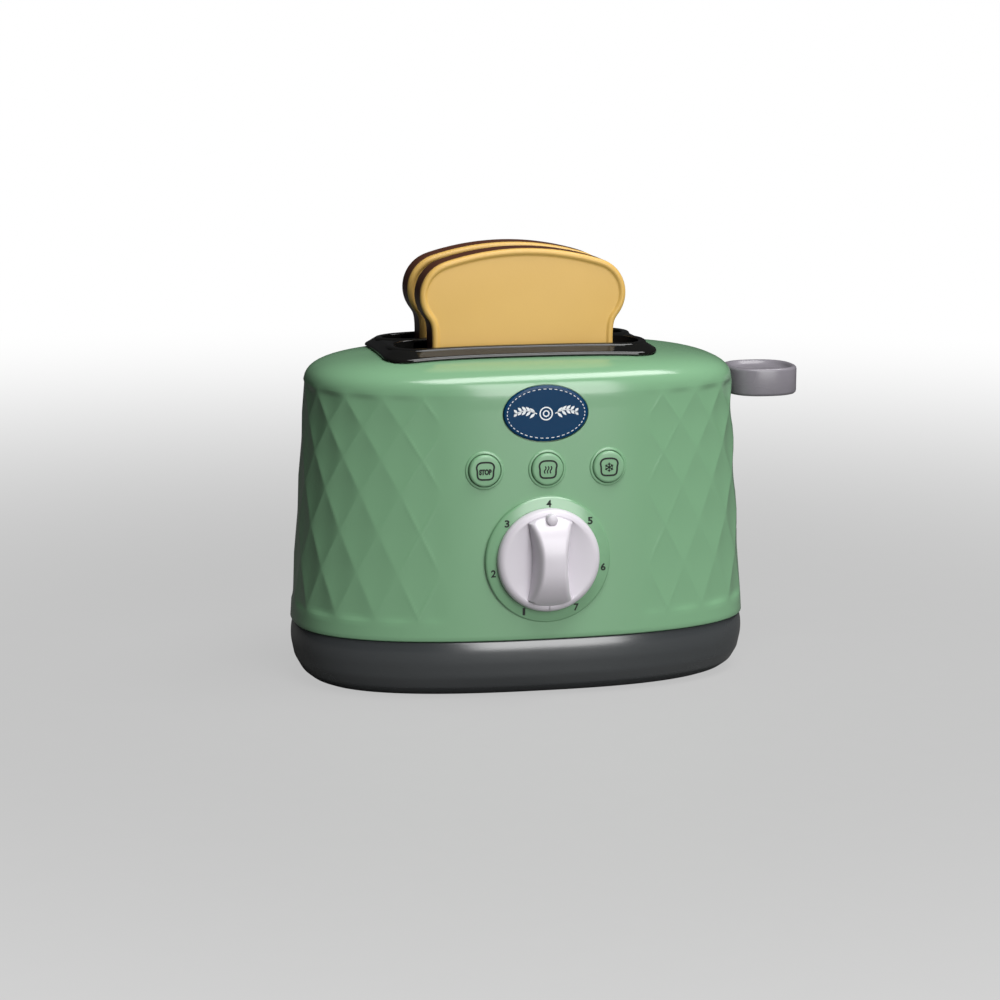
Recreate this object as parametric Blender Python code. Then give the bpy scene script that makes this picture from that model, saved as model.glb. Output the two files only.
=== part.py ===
"""Pop-up toy toaster with two bread slices, a push-down lever, three buttons and a dial.

Metres, +Z up. The origin is the middle of the flat underside, +X points to the lever's
end, and the dial and buttons face -Y. The carriage is modelled up, as in the photograph.
"""
import math

import bmesh
import bpy
import numpy as np

# Fits
SEAT_GAP = 0.0003         # between pieces that rest on each other
RUNNING_GAP = 0.0005      # round a piece that slides or turns
OVERRUN = 0.003           # how far a cutter passes the face that it opens
BITE = 0.0006             # how far a joined feature reaches into what carries it

# Casing
SEAM_HEIGHT = 0.019
BODY_HALF_LENGTH = 0.076  # at the seam
BODY_HALF_DEPTH = 0.042
SHOULDER_HEIGHT = 0.094
CROWN_RISE = 0.0149       # shoulder to the middle of the top
WALL = 0.0022
END_LEAN = math.radians(3.6)
FRONT_LEAN = math.radians(1.8)
PLAN_EXPONENT = 2.5
CROWN_EXPONENT = 4.0
CROWN_ANGLES = [math.radians(a) for a in (7, 14, 24, 36, 50, 66, 80)]
INNER_CROWN_ANGLES = [math.radians(a) for a in (8, 25, 45, 70)]

# Diamond facets in the casing
FACET_COLUMNS = 28
FACET_LOW = 0.027
FACET_RISE = 0.003        # the top row's corners above the shoulder
FACET_HIGH = SHOULDER_HEIGHT + FACET_RISE
FACET_ROW_SHARES = (0.0, 0.20, 0.386, 0.571, 0.729, 0.871, 1.0)
FACET_LEDGE = 0.0008      # step between a facet's level edge and the round wall

# Base
BASE_FLOOR = 0.0026
BASE_FOOT_INSET = 0.009   # how far the flat underside stays inside the seam
BASE_FLARE_SHARES = ((0.0, 1.0), (0.06, 0.68), (0.18, 0.36), (0.38, 0.13), (0.65, 0.02), (1.0, 0.0))
SPIGOT_HEIGHT = 0.0035    # lip that centres the casing on the base
SPIGOT_WALL = 0.0016
BASE_COVE = 0.006         # height of the rounded corner inside the base

# Fasteners
SCREW_HEAD_RADIUS = 0.0026
SCREW_HEAD_DEPTH = 0.0018
SCREW_SHANK_RADIUS = 0.0013
SCREW_LENGTH = 0.010
SCREW_SLOT_WIDTH = 0.0008
SCREW_SLOT_DEPTH = 0.0007
SCREW_RECESS = 0.0030     # head's hole in the underside
SCREW_PAD_WALL = 0.0028   # plastic between the head and the boss above
BOSS_RADIUS = 0.0040
BOSS_X = 0.0595
BOSS_Y = 0.0120
BOSS_TOP = 0.036
RIB_THICKNESS = 0.0016

# Bread slices
BREAD_WIDTH = 0.0684
BREAD_NECK_WIDTH = 0.0600
BREAD_HEIGHT = 0.0615
BREAD_TOP_ARCH = 0.0039
LOBE_RADIUS = 0.0115
LOBE_DROP = 0.0150        # lobe centre below the slice's top
BREAD_FOOT_RADIUS = 0.0030
BREAD_FACE_DEPTH = 0.0016
BREAD_CRUST_DEPTH = 0.0093
BREAD_RIM = 0.0022        # raised rim round the slice's face
BREAD_SINK = 0.0006
CRUST_WALL = 0.0016
BREAD_X = -0.0023         # the slices lie a little right of the slots' middle
BREAD_Y = -0.0011         # and lean a little to the front
BREAD_PITCH = 0.0205      # front slice to rear slice
BREAD_DROP = 0.0128       # foot of the raised slices below the shoulder
BREAD_BOTTOM = SHOULDER_HEIGHT - BREAD_DROP

# Slot frame
SLOT_X = -0.0031          # the slots sit a little left of the casing's middle
SLOT_PITCH = 0.021        # front slot to rear slot
FRAME_HALF_LENGTH = 0.04545
FRAME_HALF_DEPTH = 0.0245
FRAME_CORNER = 0.0090
FRAME_RISE = 0.0030       # top of the frame above the crown
FRAME_EDGE = 0.0024       # rounding of its upper edge
FRAME_PLATE = 0.0034
SLOT_HALF_LENGTH = 0.0406
SLOT_HALF_WIDTH = 0.0084
SLOT_CORNER = 0.0080
COLLAR_DEPTH = 0.0062     # collar below the crown's middle
COLLAR_WALL = 0.0014
COLLAR_CORNER = 0.0030

# Bread chute
POCKET_HALF_LENGTH = 0.0403
POCKET_HALF_WIDTH = 0.0083
CHUTE_WALL = 0.0016
CHUTE_BOTTOM = 0.030
CHUTE_LEG = 0.0064
LUG_THICKNESS = 0.003
LOWER_LUG_HEIGHT = 0.030
LUG_WIDTH = 0.0058
LUG_END_WALL = 0.0022     # plastic past a rod's bore

# Carriage, rods and springs
TRAVEL = 0.042
TRAY_THICKNESS = 0.0030
TRAY_HALF_WIDTH = 0.0062
WEB_WIDTH = 0.0036
WEB_DEPTH = 0.0070        # stiffening web below the tray
WEB_SHARE = 0.75          # how much of the tray the web runs under
BEAM_HEIGHT = 0.010
BEAM_LIFT = 0.0018        # crossbeam above the slices' feet
BEAM_BOTTOM = BREAD_BOTTOM + BEAM_LIFT
BEAM_START = 0.046
BEAM_LENGTH = 0.0095
NECK_HALF_WIDTH = 0.0023
NECK_BOTTOM = BEAM_BOTTOM + BEAM_HEIGHT
NECK_HEIGHT = 0.0040
LUG_CLEARANCE = 0.0025    # beam to the lugs above it
UPPER_LUG_HEIGHT = BEAM_BOTTOM + BEAM_HEIGHT + LUG_CLEARANCE
ROD_X = 0.0508
ROD_Y = 0.0165
ROD_RADIUS = 0.0015
ROD_CHAMFER = 0.0004
SPRING_RADIUS = 0.00225   # middle of the wire
SPRING_WIRE_RADIUS = 0.00035
SPRING_TURNS = 9

# Lever paddle and its channel
PADDLE_LENGTH = 0.0240
PADDLE_DEPTH = 0.0240
PADDLE_DROP = 0.0018      # paddle's underside below the neck
PADDLE_BOTTOM = NECK_BOTTOM - PADDLE_DROP
PADDLE_THICKNESS = 0.0093
PADDLE_END = 0.0952       # outer end of the paddle
PADDLE_EXPONENT = 2.5
PADDLE_EDGE = 0.0011
PADDLE_RIM = 0.0016
PADDLE_DISH = 0.0017
NECK_GRIP = 0.0080        # how far the neck reaches into the paddle
CHANNEL_FLOOR_X = 0.0680
CHANNEL_HALF_WIDTH = 0.0106
CHANNEL_MARGIN = 0.0045   # channel's end below the lowered neck
CHANNEL_BOTTOM = NECK_BOTTOM - TRAVEL - CHANNEL_MARGIN
CHANNEL_RISE = 0.0062     # channel's upper end above the shoulder
CHANNEL_TOP = SHOULDER_HEIGHT + CHANNEL_RISE
CHANNEL_WALL = 0.0020

# Badge
BADGE_X = -0.0004
BADGE_DROP = 0.0015       # badge's middle below the shoulder
BADGE_HEIGHT = SHOULDER_HEIGHT - BADGE_DROP
BADGE_HALF_LENGTH = 0.0138
BADGE_HALF_HEIGHT = 0.0090
BADGE_THICKNESS = 0.0012
BADGE_SINK = 0.0011       # recess for the badge

# Dial
DIAL_BOSS_RADIUS = 0.0202
DIAL_BOSS_EDGE = 0.0011   # slope round the ring's face
DIAL_BOSS_FACE = 0.0423   # distance of the ring's face from the middle plane
KNOB_RADIUS = 0.0169
KNOB_HEIGHT = 0.0095
KNOB_DOME_SHARES = ((0.0, 1.0), (0.13, 0.99), (0.25, 0.975), (0.32, 0.95), (0.44, 0.911), (0.62, 0.80),
                    (0.78, 0.65), (0.88, 0.503), (0.95, 0.355), (0.99, 0.178), (1.0, 0.06))
KNOB_FLOOR = 0.0018       # disc that is left under the finger hollows
GRIP_END_WIDTH = 0.0125
GRIP_WAIST = 0.0066
POINTER_RADIUS = 0.0018
POINTER_RISE = 0.0007
POINTER_DEPTH = 0.0035    # pointer's foot inside the knob
POINTER_SHARE = 0.81      # of the radius, from the dial's axis
POINTER_HEIGHT_SHARE = 0.70
SHAFT_RADIUS = 0.0030
SHAFT_FLAT_SHARE = 0.70
BUSH_WALL = 0.0024
BUSH_DEPTH = 0.0028       # bush behind the casing's inner face
STAR_RADIUS = 0.0090
STAR_NOTCH = 0.0012
STAR_TEETH = 7
STAR_THICKNESS = 0.0030
WASHER_RADIUS = 0.0048
WASHER_THICKNESS = 0.0008
PILOT_DEPTH = 0.0080

# Click spring below the star wheel
CLICK_THICKNESS = 0.0006
CLICK_REACH = 0.0220      # from the dial's axis to the leaf's far end
CLICK_TAB = 0.0080
CLICK_BOSS_RADIUS = 0.0028

# Buttons
BUTTON_SPACING = 0.0203
BUTTON_RADIUS = 0.00515
BUTTON_HOLE_RADIUS = 0.00575
BUTTON_PROUD = 0.0014
BUTTON_EDGE = 0.0007
BUTTON_FLANGE_RADIUS = 0.0068
BUTTON_CLEARANCE = 0.0020     # flange to the badge above it
DIAL_CLEARANCE = 0.0021       # flange to the dial ring below it
BUTTON_HEIGHT = BADGE_HEIGHT - BADGE_HALF_HEIGHT - BUTTON_FLANGE_RADIUS - BUTTON_CLEARANCE
DIAL_HEIGHT = BUTTON_HEIGHT - BUTTON_FLANGE_RADIUS - DIAL_CLEARANCE - DIAL_BOSS_RADIUS
BUTTON_FLANGE = 0.0012
BUTTON_STEM_RADIUS = 0.0021
BUTTON_SPRING_ROOM = 0.0070
BUTTON_STEM_PROUD = 0.0012
BUTTON_STROKE = 0.0020
BUTTON_COIL_RADIUS = 0.0031
BUTTON_WIRE_RADIUS = 0.00028
BUTTON_COIL_TURNS = 3
BUTTON_NAMES = ("stop", "toast", "defrost")
PLATE_THICKNESS = 0.0018
PLATE_HALF_LENGTH = 0.0285
PLATE_HALF_HEIGHT = 0.0080
PLATE_BOSS_RADIUS = 0.0027

# Release rocker behind the stop button
ROCKER_X = 0.0080
ROCKER_Y = -0.0241
ROCKER_DROP = 0.0142      # rocker's foot below the buttons' axes
ROCKER_BOTTOM = BUTTON_HEIGHT - ROCKER_DROP
ROCKER_HEIGHT = 0.0080
ROCKER_HUB_RADIUS = 0.0030
ROCKER_THICKNESS = 0.0022
ROCKER_TAB_HALF_WIDTH = 0.0035
ROCKER_HOOK_THICKNESS = 0.0020
ROCKER_HOOK_WIDTH = 0.0060
PIN_RADIUS = 0.0012
PIN_LUG = 0.0020
PIN_LUG_HALF_WIDTH = 0.0030
CATCH_DEPTH = 0.0018      # catch nib on the front of the crossbeam
CATCH_HEIGHT = 0.0020

# Roundness of turned and rounded shapes
ROUND_SIDES = 32
SMALL_SIDES = 16
SCREW_SIDES = 12
PLAN_SIDES = 2 * FACET_COLUMNS
FRAME_SIDE_STEPS = 6      # so that the slot frame's sides follow the crown


def clear_scene():
    """Start from an empty scene."""
    for thing in list(bpy.data.objects):
        bpy.data.objects.remove(thing, do_unlink=True)


def plastic(name, red, green, blue, roughness, metallic=0.0):
    """A Principled material from display colours 0 to 255."""
    linear = []
    for value in (red, green, blue):
        share = value / 255.0
        linear.append(share / 12.92 if share <= 0.04045 else ((share + 0.055) / 1.055) ** 2.4)
    material = bpy.data.materials.new(name)
    material.use_nodes = True
    shader = material.node_tree.nodes["Principled BSDF"]
    shader.inputs["Base Color"].default_value = (*linear, 1.0)
    shader.inputs["Roughness"].default_value = roughness
    shader.inputs["Metallic"].default_value = metallic
    material.diffuse_color = (*linear, 1.0)
    return material


def on_axis(points, axis):
    """Turn (u, v, w) points so that w runs along the named axis."""
    points = np.asarray(points, dtype=float)
    if axis == "X":
        return points[..., [2, 0, 1]]
    if axis == "Y":
        return points[..., [0, 2, 1]]
    return points


def lofted(rings):
    """A closed solid through rings of equal count, with a flat cap at each end."""
    solid = bmesh.new()
    rows = [[solid.verts.new(point) for point in ring] for ring in rings]
    count = len(rows[0])
    for lower, upper in zip(rows, rows[1:]):
        for k in range(count):
            solid.faces.new((lower[k], lower[(k + 1) % count], upper[(k + 1) % count], upper[k]))
    solid.faces.new(rows[0][::-1])
    solid.faces.new(rows[-1])
    bmesh.ops.recalc_face_normals(solid, faces=solid.faces)
    return solid


def circle(radius, centre=(0.0, 0.0), sides=ROUND_SIDES):
    """Outline of a circle as (u, v) points."""
    turn = 2 * np.pi * np.arange(sides) / sides
    return np.stack([centre[0] + radius * np.cos(turn), centre[1] + radius * np.sin(turn)], axis=-1)


def prism(outline, start, end, axis="Z"):
    """An outline of (u, v) points carried from start to end along an axis."""
    outline = np.asarray(outline, dtype=float)
    rings = [np.column_stack([outline, np.full(len(outline), w)]) for w in (start, end)]
    return lofted(on_axis(rings, axis))


def box(low, high):
    """A box between two corners."""
    outline = [(low[0], low[1]), (high[0], low[1]), (high[0], high[1]), (low[0], high[1])]
    return prism(outline, low[2], high[2])


def turned(profile, centre, axis, sides=ROUND_SIDES):
    """A solid turned about an axis from (place along the axis, radius) pairs."""
    rings = [np.column_stack([circle(radius, centre, sides), np.full(sides, w)]) for w, radius in profile]
    return lofted(on_axis(rings, axis))


def rounded_rectangle(half_u, half_v, radius, centre=(0.0, 0.0), corner_steps=6, side_steps=1):
    """Outline of a rectangle with round corners, anticlockwise from its right side."""
    corners = []
    for k, (side_u, side_v) in enumerate(((1, 1), (-1, 1), (-1, -1), (1, -1))):
        turn = np.pi / 2 * (k + np.arange(corner_steps + 1) / corner_steps)
        middle = np.array([centre[0] + side_u * (half_u - radius), centre[1] + side_v * (half_v - radius)])
        corners.append(middle + radius * np.stack([np.cos(turn), np.sin(turn)], axis=-1))
    parts = []
    for corner, after in zip(corners, corners[1:] + corners[:1]):
        shares = np.arange(1, side_steps)[:, None] / side_steps
        parts += [corner, corner[-1] + shares * (after[0] - corner[-1])]
    return np.concatenate(parts)


def helix(radius, wire_radius, turns, start, end, centre, axis, steps=8, sides=4):
    """One unbroken wire wound from start to end along an axis."""
    count = turns * steps + 1
    turn = 2 * np.pi * np.arange(count) / steps
    along = np.linspace(start + wire_radius, end - wire_radius, count)
    around = 2 * np.pi * np.arange(sides) / sides
    reach = radius + wire_radius * np.cos(around)[None, :]
    rings = np.stack([centre[0] + reach * np.cos(turn)[:, None],
                      centre[1] + reach * np.sin(turn)[:, None],
                      along[:, None] + wire_radius * np.sin(around)[None, :]], axis=-1)
    return lofted(on_axis(rings, axis))


def add_piece(name, solid, material, carrier=None):
    """Put a solid into the scene as an object whose origin is its carrier's."""
    if carrier is not None:
        bmesh.ops.translate(solid, verts=solid.verts, vec=-carrier.location)
    mesh = bpy.data.meshes.new(name)
    solid.to_mesh(mesh)
    solid.free()
    mesh.materials.append(material)
    mesh.shade_smooth()
    mesh.set_sharp_from_angle(angle=math.radians(30))
    piece = bpy.data.objects.new(name, mesh)
    piece.parent = carrier
    bpy.context.scene.collection.objects.link(piece)
    return piece


def combine(piece, solid, operation):
    """Join a solid to a piece or cut it out of it, with a live Boolean modifier."""
    name = f"{piece.name}_{operation.lower()}_{len(piece.modifiers)}"
    tool = add_piece(name, solid, piece.data.materials[0], piece.parent)
    tool.hide_render = True
    tool.display_type = "WIRE"
    modifier = piece.modifiers.new(name, "BOOLEAN")
    modifier.operation = operation
    modifier.solver = "EXACT"
    modifier.object = tool


def join(piece, solid):
    combine(piece, solid, "UNION")


def cut(piece, solid):
    combine(piece, solid, "DIFFERENCE")


def add_axis(name, place):
    """An empty that carries the pieces of one moving body."""
    empty = bpy.data.objects.new(name, None)
    empty.location = place
    bpy.context.scene.collection.objects.link(empty)
    return empty


def half_sizes(height, inset=0.0):
    """Half length and half depth of the casing's plan at a height."""
    climb = min(height, SHOULDER_HEIGHT) - SEAM_HEIGHT
    half_length = BODY_HALF_LENGTH - climb * math.tan(END_LEAN) - inset
    half_depth = BODY_HALF_DEPTH - climb * math.tan(FRONT_LEAN) - inset
    return half_length, half_depth


def plan_outline(half_length, half_depth, shares):
    """Points of the rounded plan at shares of its length round, from the front's middle.

    The plan is |x / a|^n + |y / b|^n = 1.
    """
    fine = np.linspace(0, 2 * np.pi, 1441)
    power = 2 / PLAN_EXPONENT
    x = half_length * np.sign(np.sin(fine)) * np.abs(np.sin(fine)) ** power
    y = -half_depth * np.sign(np.cos(fine)) * np.abs(np.cos(fine)) ** power
    run = np.concatenate([[0.0], np.cumsum(np.hypot(np.diff(x), np.diff(y)))])
    run_shares = run / run[-1]
    shares = np.asarray(shares) % 1.0
    return np.stack([np.interp(shares, run_shares, x), np.interp(shares, run_shares, y)], axis=-1)


def body_ring(height, inset=0.0, shares=None):
    """Ring of points of the smooth casing at a nominal height.

    Above the shoulder the plan shrinks as (1 - t^m)^(1/m), where t is the share of the rise.
    """
    if shares is None:
        shares = np.arange(PLAN_SIDES) / PLAN_SIDES
    half_length, half_depth = half_sizes(height, inset)
    outline = plan_outline(half_length, half_depth, shares)
    rise = CROWN_RISE - inset
    share = max(height - SHOULDER_HEIGHT, 0.0) / rise
    spread = (1 - min(share, 1.0) ** CROWN_EXPONENT) ** (1 / CROWN_EXPONENT)
    return np.column_stack([outline * spread, np.full(len(outline), height)])


def crown_rings(angles, inset=0.0):
    """Rings that close the casing's top, at even angles round its shoulder."""
    rise = CROWN_RISE - inset
    power = 2 / CROWN_EXPONENT
    return [body_ring(SHOULDER_HEIGHT + rise * math.sin(a) ** power, inset) for a in angles]


def crown_height(x, y, inset=0.0):
    """Height of the casing's top above a place in plan."""
    half_length, half_depth = half_sizes(SHOULDER_HEIGHT, inset)
    spread = (np.abs(x / half_length) ** PLAN_EXPONENT + np.abs(y / half_depth) ** PLAN_EXPONENT)
    spread = np.minimum(spread ** (1 / PLAN_EXPONENT), 1.0)
    return SHOULDER_HEIGHT + (CROWN_RISE - inset) * (1 - spread ** CROWN_EXPONENT) ** (1 / CROWN_EXPONENT)


def front_face(x, height, inset=0.0):
    """Place in Y of the casing's front wall."""
    half_length, half_depth = half_sizes(height, inset)
    return -half_depth * (1 - abs(x / half_length) ** PLAN_EXPONENT) ** (1 / PLAN_EXPONENT)


def facet_row(height, phase):
    """Ring of facet corners, every second point of the plan, with chords between them."""
    ring = body_ring(height)
    corners = ring[phase::2]
    middles = (corners + np.roll(corners, -1, axis=0)) / 2
    row = np.empty_like(ring)
    row[phase::2] = corners
    row[(np.arange(FACET_COLUMNS) * 2 + phase + 1) % PLAN_SIDES] = middles
    return row


def faceted_shell():
    """The hollow casing: inner skin from the top down, rim, then the faceted outside."""
    bottom = SEAM_HEIGHT + SEAT_GAP
    inner = [body_ring(bottom, WALL), body_ring(SHOULDER_HEIGHT, WALL)]
    inner += crown_rings(INNER_CROWN_ANGLES, WALL)
    heights = [FACET_LOW + share * (FACET_HIGH - FACET_LOW) for share in FACET_ROW_SHARES]
    facets = [facet_row(height, row % 2) for row, height in enumerate(heights)]
    lower = [body_ring(bottom), body_ring(FACET_LOW - FACET_LEDGE)]
    upper = [body_ring(FACET_HIGH + FACET_LEDGE)] + crown_rings(CROWN_ANGLES)
    rings = inner[::-1] + lower + facets + upper
    first_facet = len(inner) + len(lower)
    solid = bmesh.new()
    rows = [[solid.verts.new(point) for point in ring] for ring in rings]
    for level, (low, high) in enumerate(zip(rows, rows[1:])):
        row = level - first_facet
        for k in range(PLAN_SIDES):
            after = (k + 1) % PLAN_SIDES
            corner_low = low[k], low[after]
            corner_high = high[k], high[after]
            if 0 <= row < len(facets) - 1 and k % 2 != row % 2:
                solid.faces.new((corner_low[0], corner_low[1], corner_high[0]))
                solid.faces.new((corner_low[1], corner_high[1], corner_high[0]))
            else:
                solid.faces.new((corner_low[0], corner_low[1], corner_high[1]))
                solid.faces.new((corner_low[0], corner_high[1], corner_high[0]))
    for row, inset in ((rows[0], WALL), (rows[-1], 0.0)):
        top = solid.verts.new((0.0, 0.0, SHOULDER_HEIGHT + CROWN_RISE - inset))
        for k in range(PLAN_SIDES):
            solid.faces.new((row[k], row[(k + 1) % PLAN_SIDES], top))
    bmesh.ops.recalc_face_normals(solid, faces=solid.faces)
    return solid


def collar_half_sizes():
    """Outer half length and half depth of the slot frame's collar."""
    half_length = POCKET_HALF_LENGTH + CHUTE_WALL + SEAT_GAP + COLLAR_WALL
    half_depth = SLOT_PITCH / 2 + POCKET_HALF_WIDTH + CHUTE_WALL + SEAT_GAP + COLLAR_WALL
    return half_length, half_depth


def boss_places():
    return [(side_x * BOSS_X, side_y * BOSS_Y) for side_y in (-1, 1) for side_x in (-1, 1)]


def boss_bottom():
    return SCREW_RECESS + SCREW_PAD_WALL + SEAT_GAP


def make_body_shell(green):
    """Faceted casing with its dial ring, screw bosses and the lever's channel."""
    body = add_piece("body_shell", faceted_shell(), green)

    dial_back = front_face(0.0, DIAL_HEIGHT, WALL)
    ring = [(-DIAL_BOSS_FACE, DIAL_BOSS_RADIUS - DIAL_BOSS_EDGE),
            (-DIAL_BOSS_FACE + DIAL_BOSS_EDGE, DIAL_BOSS_RADIUS),
            (dial_back - WALL / 2 + BITE, DIAL_BOSS_RADIUS)]
    join(body, turned(ring, (0.0, DIAL_HEIGHT), "Y"))
    bush_radius = SHAFT_RADIUS + SEAT_GAP + BUSH_WALL
    join(body, turned([(dial_back - BITE, bush_radius), (dial_back + BUSH_DEPTH, bush_radius)],
                      (0.0, DIAL_HEIGHT), "Y", SMALL_SIDES))

    for x, y in boss_places():
        join(body, turned([(boss_bottom(), BOSS_RADIUS), (BOSS_TOP, BOSS_RADIUS)], (x, y), "Z", SMALL_SIDES))
        rib_bottom = SEAM_HEIGHT + SPIGOT_HEIGHT + RUNNING_GAP
        side = math.copysign(1.0, x)
        reach = half_sizes(BOSS_TOP, WALL)[0] * (1 - (abs(y) / half_sizes(BOSS_TOP, WALL)[1])
                                                 ** PLAN_EXPONENT) ** (1 / PLAN_EXPONENT) + BITE
        low_x, high_x = sorted((side * (abs(x) + BOSS_RADIUS / 2), side * reach))
        join(body, box((low_x, y - RIB_THICKNESS / 2, rib_bottom), (high_x, y + RIB_THICKNESS / 2, BOSS_TOP)))

    plate_front = button_plate_front()
    for side in (-1, 1):
        x = side * BUTTON_SPACING / 2
        wall_back = front_face(x, BUTTON_HEIGHT, WALL)
        join(body, turned([(wall_back - BITE, PLATE_BOSS_RADIUS), (plate_front - SEAT_GAP, PLATE_BOSS_RADIUS)],
                          (x, BUTTON_HEIGHT), "Y", SMALL_SIDES))
    x, height = click_boss_place()
    join(body, turned([(front_face(x, height, WALL) - BITE, CLICK_BOSS_RADIUS),
                       (star_front() - SEAT_GAP, CLICK_BOSS_RADIUS)], (x, height), "Y", SMALL_SIDES))

    half_width = CHANNEL_HALF_WIDTH + CHANNEL_WALL
    inner_x = CHANNEL_FLOOR_X - CHANNEL_WALL
    skin = WALL + BITE
    low = CHANNEL_BOTTOM - CHANNEL_WALL
    outer_x = half_sizes(SHOULDER_HEIGHT)[0] - skin
    pocket = [(inner_x, low), (half_sizes(low)[0] - skin, low), (outer_x, SHOULDER_HEIGHT)]
    pocket += [(x, float(crown_height(x, half_width)) - WALL / 2) for x in (outer_x, inner_x)]
    join(body, prism(pocket, -half_width, half_width, "Y"))
    cut(body, box((CHANNEL_FLOOR_X, -CHANNEL_HALF_WIDTH, CHANNEL_BOTTOM),
                  (BODY_HALF_LENGTH + OVERRUN, CHANNEL_HALF_WIDTH, CHANNEL_TOP)))
    slot_half_width = NECK_HALF_WIDTH + RUNNING_GAP
    cut(body, box((inner_x - OVERRUN, -slot_half_width, NECK_BOTTOM - TRAVEL - RUNNING_GAP),
                  (CHANNEL_FLOOR_X + OVERRUN, slot_half_width, NECK_BOTTOM + NECK_HEIGHT + RUNNING_GAP)))

    collar_length, collar_depth = collar_half_sizes()
    opening = rounded_rectangle(collar_length + SEAT_GAP, collar_depth + SEAT_GAP, COLLAR_CORNER, (SLOT_X, 0.0), 3)
    cut(body, prism(opening, SHOULDER_HEIGHT, SHOULDER_HEIGHT + CROWN_RISE + OVERRUN))

    front = -DIAL_BOSS_FACE - OVERRUN
    for x in button_places():
        cut(body, turned([(front, BUTTON_HOLE_RADIUS), (front_face(x, BUTTON_HEIGHT, WALL) + OVERRUN / 2,
                                                        BUTTON_HOLE_RADIUS)], (x, BUTTON_HEIGHT), "Y"))
    bore = SHAFT_RADIUS + SEAT_GAP
    cut(body, turned([(front, bore), (dial_back + BUSH_DEPTH + OVERRUN, bore)], (0.0, DIAL_HEIGHT), "Y", SMALL_SIDES))
    badge_floor = front_face(0.0, BADGE_HEIGHT) + BADGE_SINK
    badge_outline = badge_shape(SEAT_GAP)
    cut(body, prism(badge_outline, front, badge_floor, "Y"))

    pilot = SCREW_SHANK_RADIUS + SEAT_GAP
    for x, y in boss_places():
        top = screw_seat() + SCREW_LENGTH + RUNNING_GAP
        cut(body, turned([(boss_bottom() - OVERRUN, pilot), (top, pilot)], (x, y), "Z", SMALL_SIDES))
    for side in (-1, 1):
        x = side * BUTTON_SPACING / 2
        wall_back = front_face(x, BUTTON_HEIGHT, WALL)
        cut(body, turned([(wall_back - WALL / 3, pilot), (plate_front + OVERRUN, pilot)],
                         (x, BUTTON_HEIGHT), "Y", SMALL_SIDES))
    x, height = click_boss_place()
    cut(body, turned([(front_face(x, height, WALL) - WALL / 3, pilot), (star_front() + OVERRUN, pilot)],
                     (x, height), "Y", SMALL_SIDES))
    return body


def make_base_tray(grey):
    """Grey base with a flat underside, a centring lip and pads for the screws."""
    rings = []
    rim = SEAM_HEIGHT
    for share, inset_share in BASE_FLARE_SHARES:
        inset = BASE_FOOT_INSET * inset_share
        outline = plan_outline(BODY_HALF_LENGTH - inset, BODY_HALF_DEPTH - inset, np.arange(PLAN_SIDES) / PLAN_SIDES)
        rings.append(np.column_stack([outline, np.full(PLAN_SIDES, share * rim)]))
    spigot_outer = WALL + SEAT_GAP
    spigot_inner = spigot_outer + SPIGOT_WALL
    inside = ((spigot_outer, rim), (spigot_outer, rim + SPIGOT_HEIGHT), (spigot_inner, rim + SPIGOT_HEIGHT),
              (spigot_inner, BASE_FLOOR + BASE_COVE), (spigot_inner + BASE_FOOT_INSET, BASE_FLOOR))
    for inset, height in inside:
        half_length, half_depth = half_sizes(max(height, rim), inset)
        outline = plan_outline(half_length, half_depth, np.arange(PLAN_SIDES) / PLAN_SIDES)
        rings.append(np.column_stack([outline, np.full(PLAN_SIDES, height)]))
    tray = add_piece("base_tray", lofted(rings), grey)
    pad_top = SCREW_RECESS + SCREW_PAD_WALL
    for x, y in boss_places() + leg_screw_places():
        join(tray, turned([(BASE_FLOOR / 2, SCREW_HEAD_RADIUS + SCREW_PAD_WALL), (pad_top, BOSS_RADIUS)],
                          (x, y), "Z", SMALL_SIDES))
        head = SCREW_HEAD_RADIUS + RUNNING_GAP
        shank = SCREW_SHANK_RADIUS + RUNNING_GAP
        cut(tray, turned([(-OVERRUN, head), (SCREW_RECESS, head), (SCREW_RECESS, shank),
                          (pad_top + OVERRUN, shank)], (x, y), "Z", SMALL_SIDES))
    return tray


def screw_seat():
    """Height of the underside screws' bearing face."""
    return SCREW_RECESS - SEAT_GAP


def leg_places():
    """Middles of the chute's four legs."""
    reach_x = POCKET_HALF_LENGTH + CHUTE_WALL - CHUTE_LEG / 2
    reach_y = SLOT_PITCH / 2 + POCKET_HALF_WIDTH + CHUTE_WALL - CHUTE_LEG / 2
    return [(SLOT_X + side_x * reach_x, side_y * reach_y) for side_y in (-1, 1) for side_x in (-1, 1)]


def leg_screw_places():
    """Two legs in opposite corners are screwed down."""
    places = leg_places()
    return [places[0], places[3]]


def screw(place, seat, length, axis="Z", side=1):
    """A pan-head screw whose head's bearing face is at seat; its tip points along side."""
    profile = [(seat - side * SCREW_HEAD_DEPTH, SCREW_HEAD_RADIUS * 0.7),
               (seat - side * SCREW_HEAD_DEPTH * 0.6, SCREW_HEAD_RADIUS),
               (seat, SCREW_HEAD_RADIUS), (seat, SCREW_SHANK_RADIUS),
               (seat + side * (length - SCREW_SHANK_RADIUS), SCREW_SHANK_RADIUS),
               (seat + side * length, SCREW_SHANK_RADIUS / 3)]
    return turned(profile, place, axis, SCREW_SIDES)


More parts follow.
